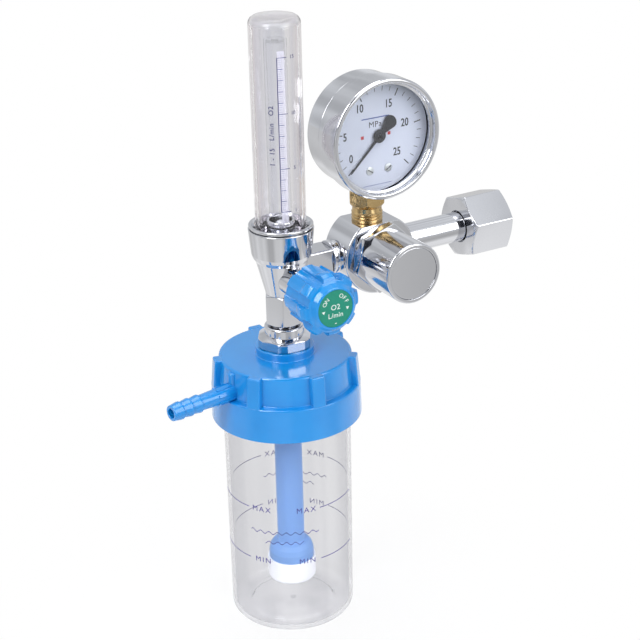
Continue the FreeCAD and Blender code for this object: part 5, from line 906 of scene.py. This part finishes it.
# Level print on the bottle, front and back: plain words at two level lines, and wave lines for water.
# Violet-blue ink, paler at the back, where it is seen through both walls.
violet = ink_of("violet_blue_ink", "#4A4296")
pale_violet = ink_of("thin_violet_blue_ink", "#9793BC")
BOTTLE_R, WAVE_HIGH, WAVE_LENGTH, WAVE_HALF = 32.15, 0.7, 4.5, 0.22
for side_name, turn, ink in (("front", -125.0, violet), ("back", 55.0, pale_violet)):
    mesh = bmesh.new()
    for words, height in (("MAX", -118.5), ("MIN", -148.0)):
        for edge in (-1, 1):
            flat_bar(mesh, edge * 19.0, edge * 43.0, height - 0.2, height + 0.2)
            lettering(mesh, words, 3.0, flat_print @ Matrix.Translation((edge * 11.6, height, 0)), 0.0, INK, 1.3)
    for height, half_length in ((-131.2, 18.0), (-136.8, 10.0)):
        steps = int(half_length * 4)
        for k in range(-steps, steps):
            (a, low), (b, high) = ((x, height + WAVE_HIGH * sin(2 * pi * x / WAVE_LENGTH)) for x in
                                   (k * half_length / steps, (k + 1) * half_length / steps))
            dab(mesh, ((a, low - WAVE_HALF), (b, high - WAVE_HALF), (b, high + WAVE_HALF),
                       (a, low + WAVE_HALF)))
    wrap(mesh, BOTTLE_R, turn)
    print_on("bottle_print_" + side_name, mesh, ink, "bottle")

# Room: a white sweep under plain soft boxes, with two dark boards that only the plating mirrors.
# What glossy rays see of the walls and the floor is uneven, as in a studio.
world = bpy.data.worlds.new("studio")
bpy.context.scene.world = world
world.use_nodes = True
tree = world.node_tree
tree.nodes.clear()
rays = add(tree, "ShaderNodeLightPath").outputs
soft = add(tree, "ShaderNodeBackground", {"Color": (0.9, 0.91, 0.94, 1), "Strength": 0.5})
plain = add(tree, "ShaderNodeBackground", {"Color": (1, 1, 1, 1), "Strength": 1.0})
way = add(tree, "ShaderNodeTexCoord").outputs["Generated"]
height = add(tree, "ShaderNodeSeparateXYZ", links={0: way}).outputs["Z"]
ceiling = add(tree, "ShaderNodeMapRange", {"From Min": 0.45, "From Max": 0.85, "To Min": 0.8, "To Max": 1.08},
              {"Value": height}, interpolation_type="SMOOTHSTEP")
clutter = add(tree, "ShaderNodeTexNoise", {"Scale": 3.5, "Detail": 1.0}, {"Vector": way})
broken = add(tree, "ShaderNodeMapRange", {"From Min": 0.38, "From Max": 0.62, "To Min": 0.72, "To Max": 1.06},
             {"Value": clutter.outputs["Fac"]})
mirrored = add(tree, "ShaderNodeMath", links={0: ceiling.outputs[0], 1: broken.outputs[0]}, operation="MULTIPLY")
room = add(tree, "ShaderNodeBackground", {"Color": (0.95, 0.97, 1, 1)}, {"Strength": mirrored.outputs[0]})
seen = add(tree, "ShaderNodeMath", links={0: rays["Is Camera Ray"], 1: rays["Is Transmission Ray"]},
           operation="MAXIMUM")
mixed = add(tree, "ShaderNodeMixShader", links={0: seen.outputs[0], 1: soft.outputs[0], 2: plain.outputs[0]})
metal_sees = add(tree, "ShaderNodeMixShader", links={0: rays["Is Glossy Ray"], 1: mixed.outputs[0],
                                                     2: room.outputs[0]})
add(tree, "ShaderNodeOutputWorld", links={"Surface": metal_sees.outputs[0]})

FLOOR = -190.6 * MM
floor_finish, tree, shader, place = finish_of("white_paper_sweep", {"Base Color": (0.9, 0.9, 0.91, 1),
                                                                    "Roughness": 0.8})
offset = add(tree, "ShaderNodeVectorMath", {1: (FLOW_X * MM, 0, FLOOR)}, {0: place}, operation="SUBTRACT")
away = add(tree, "ShaderNodeVectorMath", links={0: offset.outputs[0]}, operation="LENGTH").outputs["Value"]
fade = add(tree, "ShaderNodeMapRange", {"From Min": 0.02, "From Max": 0.16, "To Min": 0.8, "To Max": 1.0},
           {"Value": away}, interpolation_type="SMOOTHSTEP")
rays = add(tree, "ShaderNodeLightPath").outputs
seen = add(tree, "ShaderNodeMath", links={0: rays["Is Camera Ray"], 1: rays["Is Glossy Ray"]},
           operation="MAXIMUM")
seen_too = add(tree, "ShaderNodeMath", links={0: seen.outputs[0], 1: rays["Is Transmission Ray"]},
               operation="MAXIMUM")
share = add(tree, "ShaderNodeMath", links={0: seen_too.outputs[0], 1: fade.outputs[0]}, operation="MULTIPLY")
bearing = add(tree, "ShaderNodeVectorMath", links={0: offset.outputs[0]}, operation="NORMALIZE")
strips = add(tree, "ShaderNodeTexNoise", {"Scale": 1.3, "Detail": 1.0}, {"Vector": bearing.outputs[0]})
striped = add(tree, "ShaderNodeMapRange", {"From Min": 0.38, "From Max": 0.62, "To Min": 0.66, "To Max": 1.14},
              {"Value": strips.outputs["Fac"]})
clear_of_foot = add(tree, "ShaderNodeMapRange", {"From Min": 0.1, "From Max": 0.3}, {"Value": away},
                    interpolation_type="SMOOTHSTEP")
calmed = add(tree, "ShaderNodeMix", {2: 0.92}, {0: clear_of_foot.outputs[0], 3: striped.outputs[0]})
near = add(tree, "ShaderNodeMapRange", {"From Min": 0.15, "From Max": 0.5, "To Min": 1.0, "To Max": 0.73},
           {"Value": away}, interpolation_type="SMOOTHSTEP")
mirrored = add(tree, "ShaderNodeMath", links={0: near.outputs[0], 1: calmed.outputs[0]}, operation="MULTIPLY")
glow = add(tree, "ShaderNodeMix", {2: 1.0}, {0: rays["Is Glossy Ray"], 3: mirrored.outputs[0]})
white = add(tree, "ShaderNodeEmission", {"Color": (1, 1, 1, 1)}, {"Strength": glow.outputs[0]})
show(tree, add(tree, "ShaderNodeMixShader", links={0: share.outputs[0], 1: shader.outputs[0],
                                                   2: white.outputs[0]}))


def sheet(name, corners, material):
    """A flat piece of the room between four corners."""
    data = bpy.data.meshes.new(name)
    data.from_pydata(corners, [], [(0, 1, 2, 3)])
    data.materials.append(material)
    return placed(name, data)


floor = sheet("floor", [(-3, -3, FLOOR), (3, -3, FLOOR), (3, 3, FLOOR), (-3, 3, FLOOR)], floor_finish)
floor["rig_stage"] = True

board_finish, tree, shader, place = finish_of("black_felt_board", {"Roughness": 0.9})
two_tone(tree, shader, tone("#1C1E24"), tone("#33363F"), uneven(tree, place, 40.0, 0.0, 1.0))


def dark_board(name, middle, facing, width, height):
    """A board that only the plating and the glossy plastic mirror."""
    centre = Vector(middle)
    look = (Vector(facing) - centre).normalized()
    across = look.cross(Vector((0, 0, 1))).normalized() * width / 2
    rise = across.cross(look).normalized() * height / 2
    board = sheet(name, [centre - across - rise, centre + across - rise, centre + across + rise,
                         centre - across + rise], board_finish)
    board.visible_camera = False
    board.visible_diffuse = False
    board.visible_shadow = False
    board.visible_transmission = False
    board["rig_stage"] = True


dark_board("board_by_camera", (-0.62, -0.87, 0.62), (-0.1, 0, 0), 0.62, 1.1)
dark_board("board_at_left", (-1.2, 0.1, 0.0), (-0.1, 0, 0), 0.3, 0.7)
LIT_SPOT = Vector((-0.1, 0.0, -0.03))


def soft_box(name, spot, width, height, watts):
    """A rectangular lamp that faces the object."""
    lamp = bpy.data.lights.new(name, "AREA")
    lamp.shape = "RECTANGLE"
    lamp.size, lamp.size_y = width, height
    lamp.energy = watts
    holder = placed(name, lamp)
    holder.location = spot
    holder.rotation_euler = (LIT_SPOT - Vector(spot)).to_track_quat("-Z", "Y").to_euler()


soft_box("key", (-1.05, -0.35, 0.75), 0.45, 0.8, 8.0)
soft_box("fill", (0.35, -0.95, 0.55), 0.8, 1.0, 7.0)
soft_box("top", (-0.1, 0.2, 1.2), 0.9, 0.9, 6.0)

# Camera at the photograph's place, fitted to the bezel, the rings and the bottle's sides.
# Lengths are in millimetres from the part's origin.
AZIMUTH, ELEVATION, ROLL = radians(-30.025), radians(23.591), radians(-1.362)
DISTANCE, AIM_RIGHT, AIM_Z, LENS = 818.314, 17.811, -28.319, 92.92
back = Vector((sin(AZIMUTH) * cos(ELEVATION), -cos(AZIMUTH) * cos(ELEVATION), sin(ELEVATION)))
right = Vector((cos(AZIMUTH), sin(AZIMUTH), 0))
above = back.cross(right)
tilted_right = right * cos(ROLL) + above * sin(ROLL)
tilted_above = above * cos(ROLL) - right * sin(ROLL)
lens = bpy.data.cameras.new("camera")
lens.sensor_width = 36.0
lens.lens = LENS
camera = placed("camera", lens)
camera.matrix_world = Matrix((tilted_right, tilted_above, back)).transposed().to_4x4()
camera.location = (right * AIM_RIGHT + Vector((FLOW_X, 0.0, AIM_Z)) + back * DISTANCE) * MM
bpy.context.scene.camera = camera
bpy.context.scene.view_settings.view_transform = "Standard"

low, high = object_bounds()
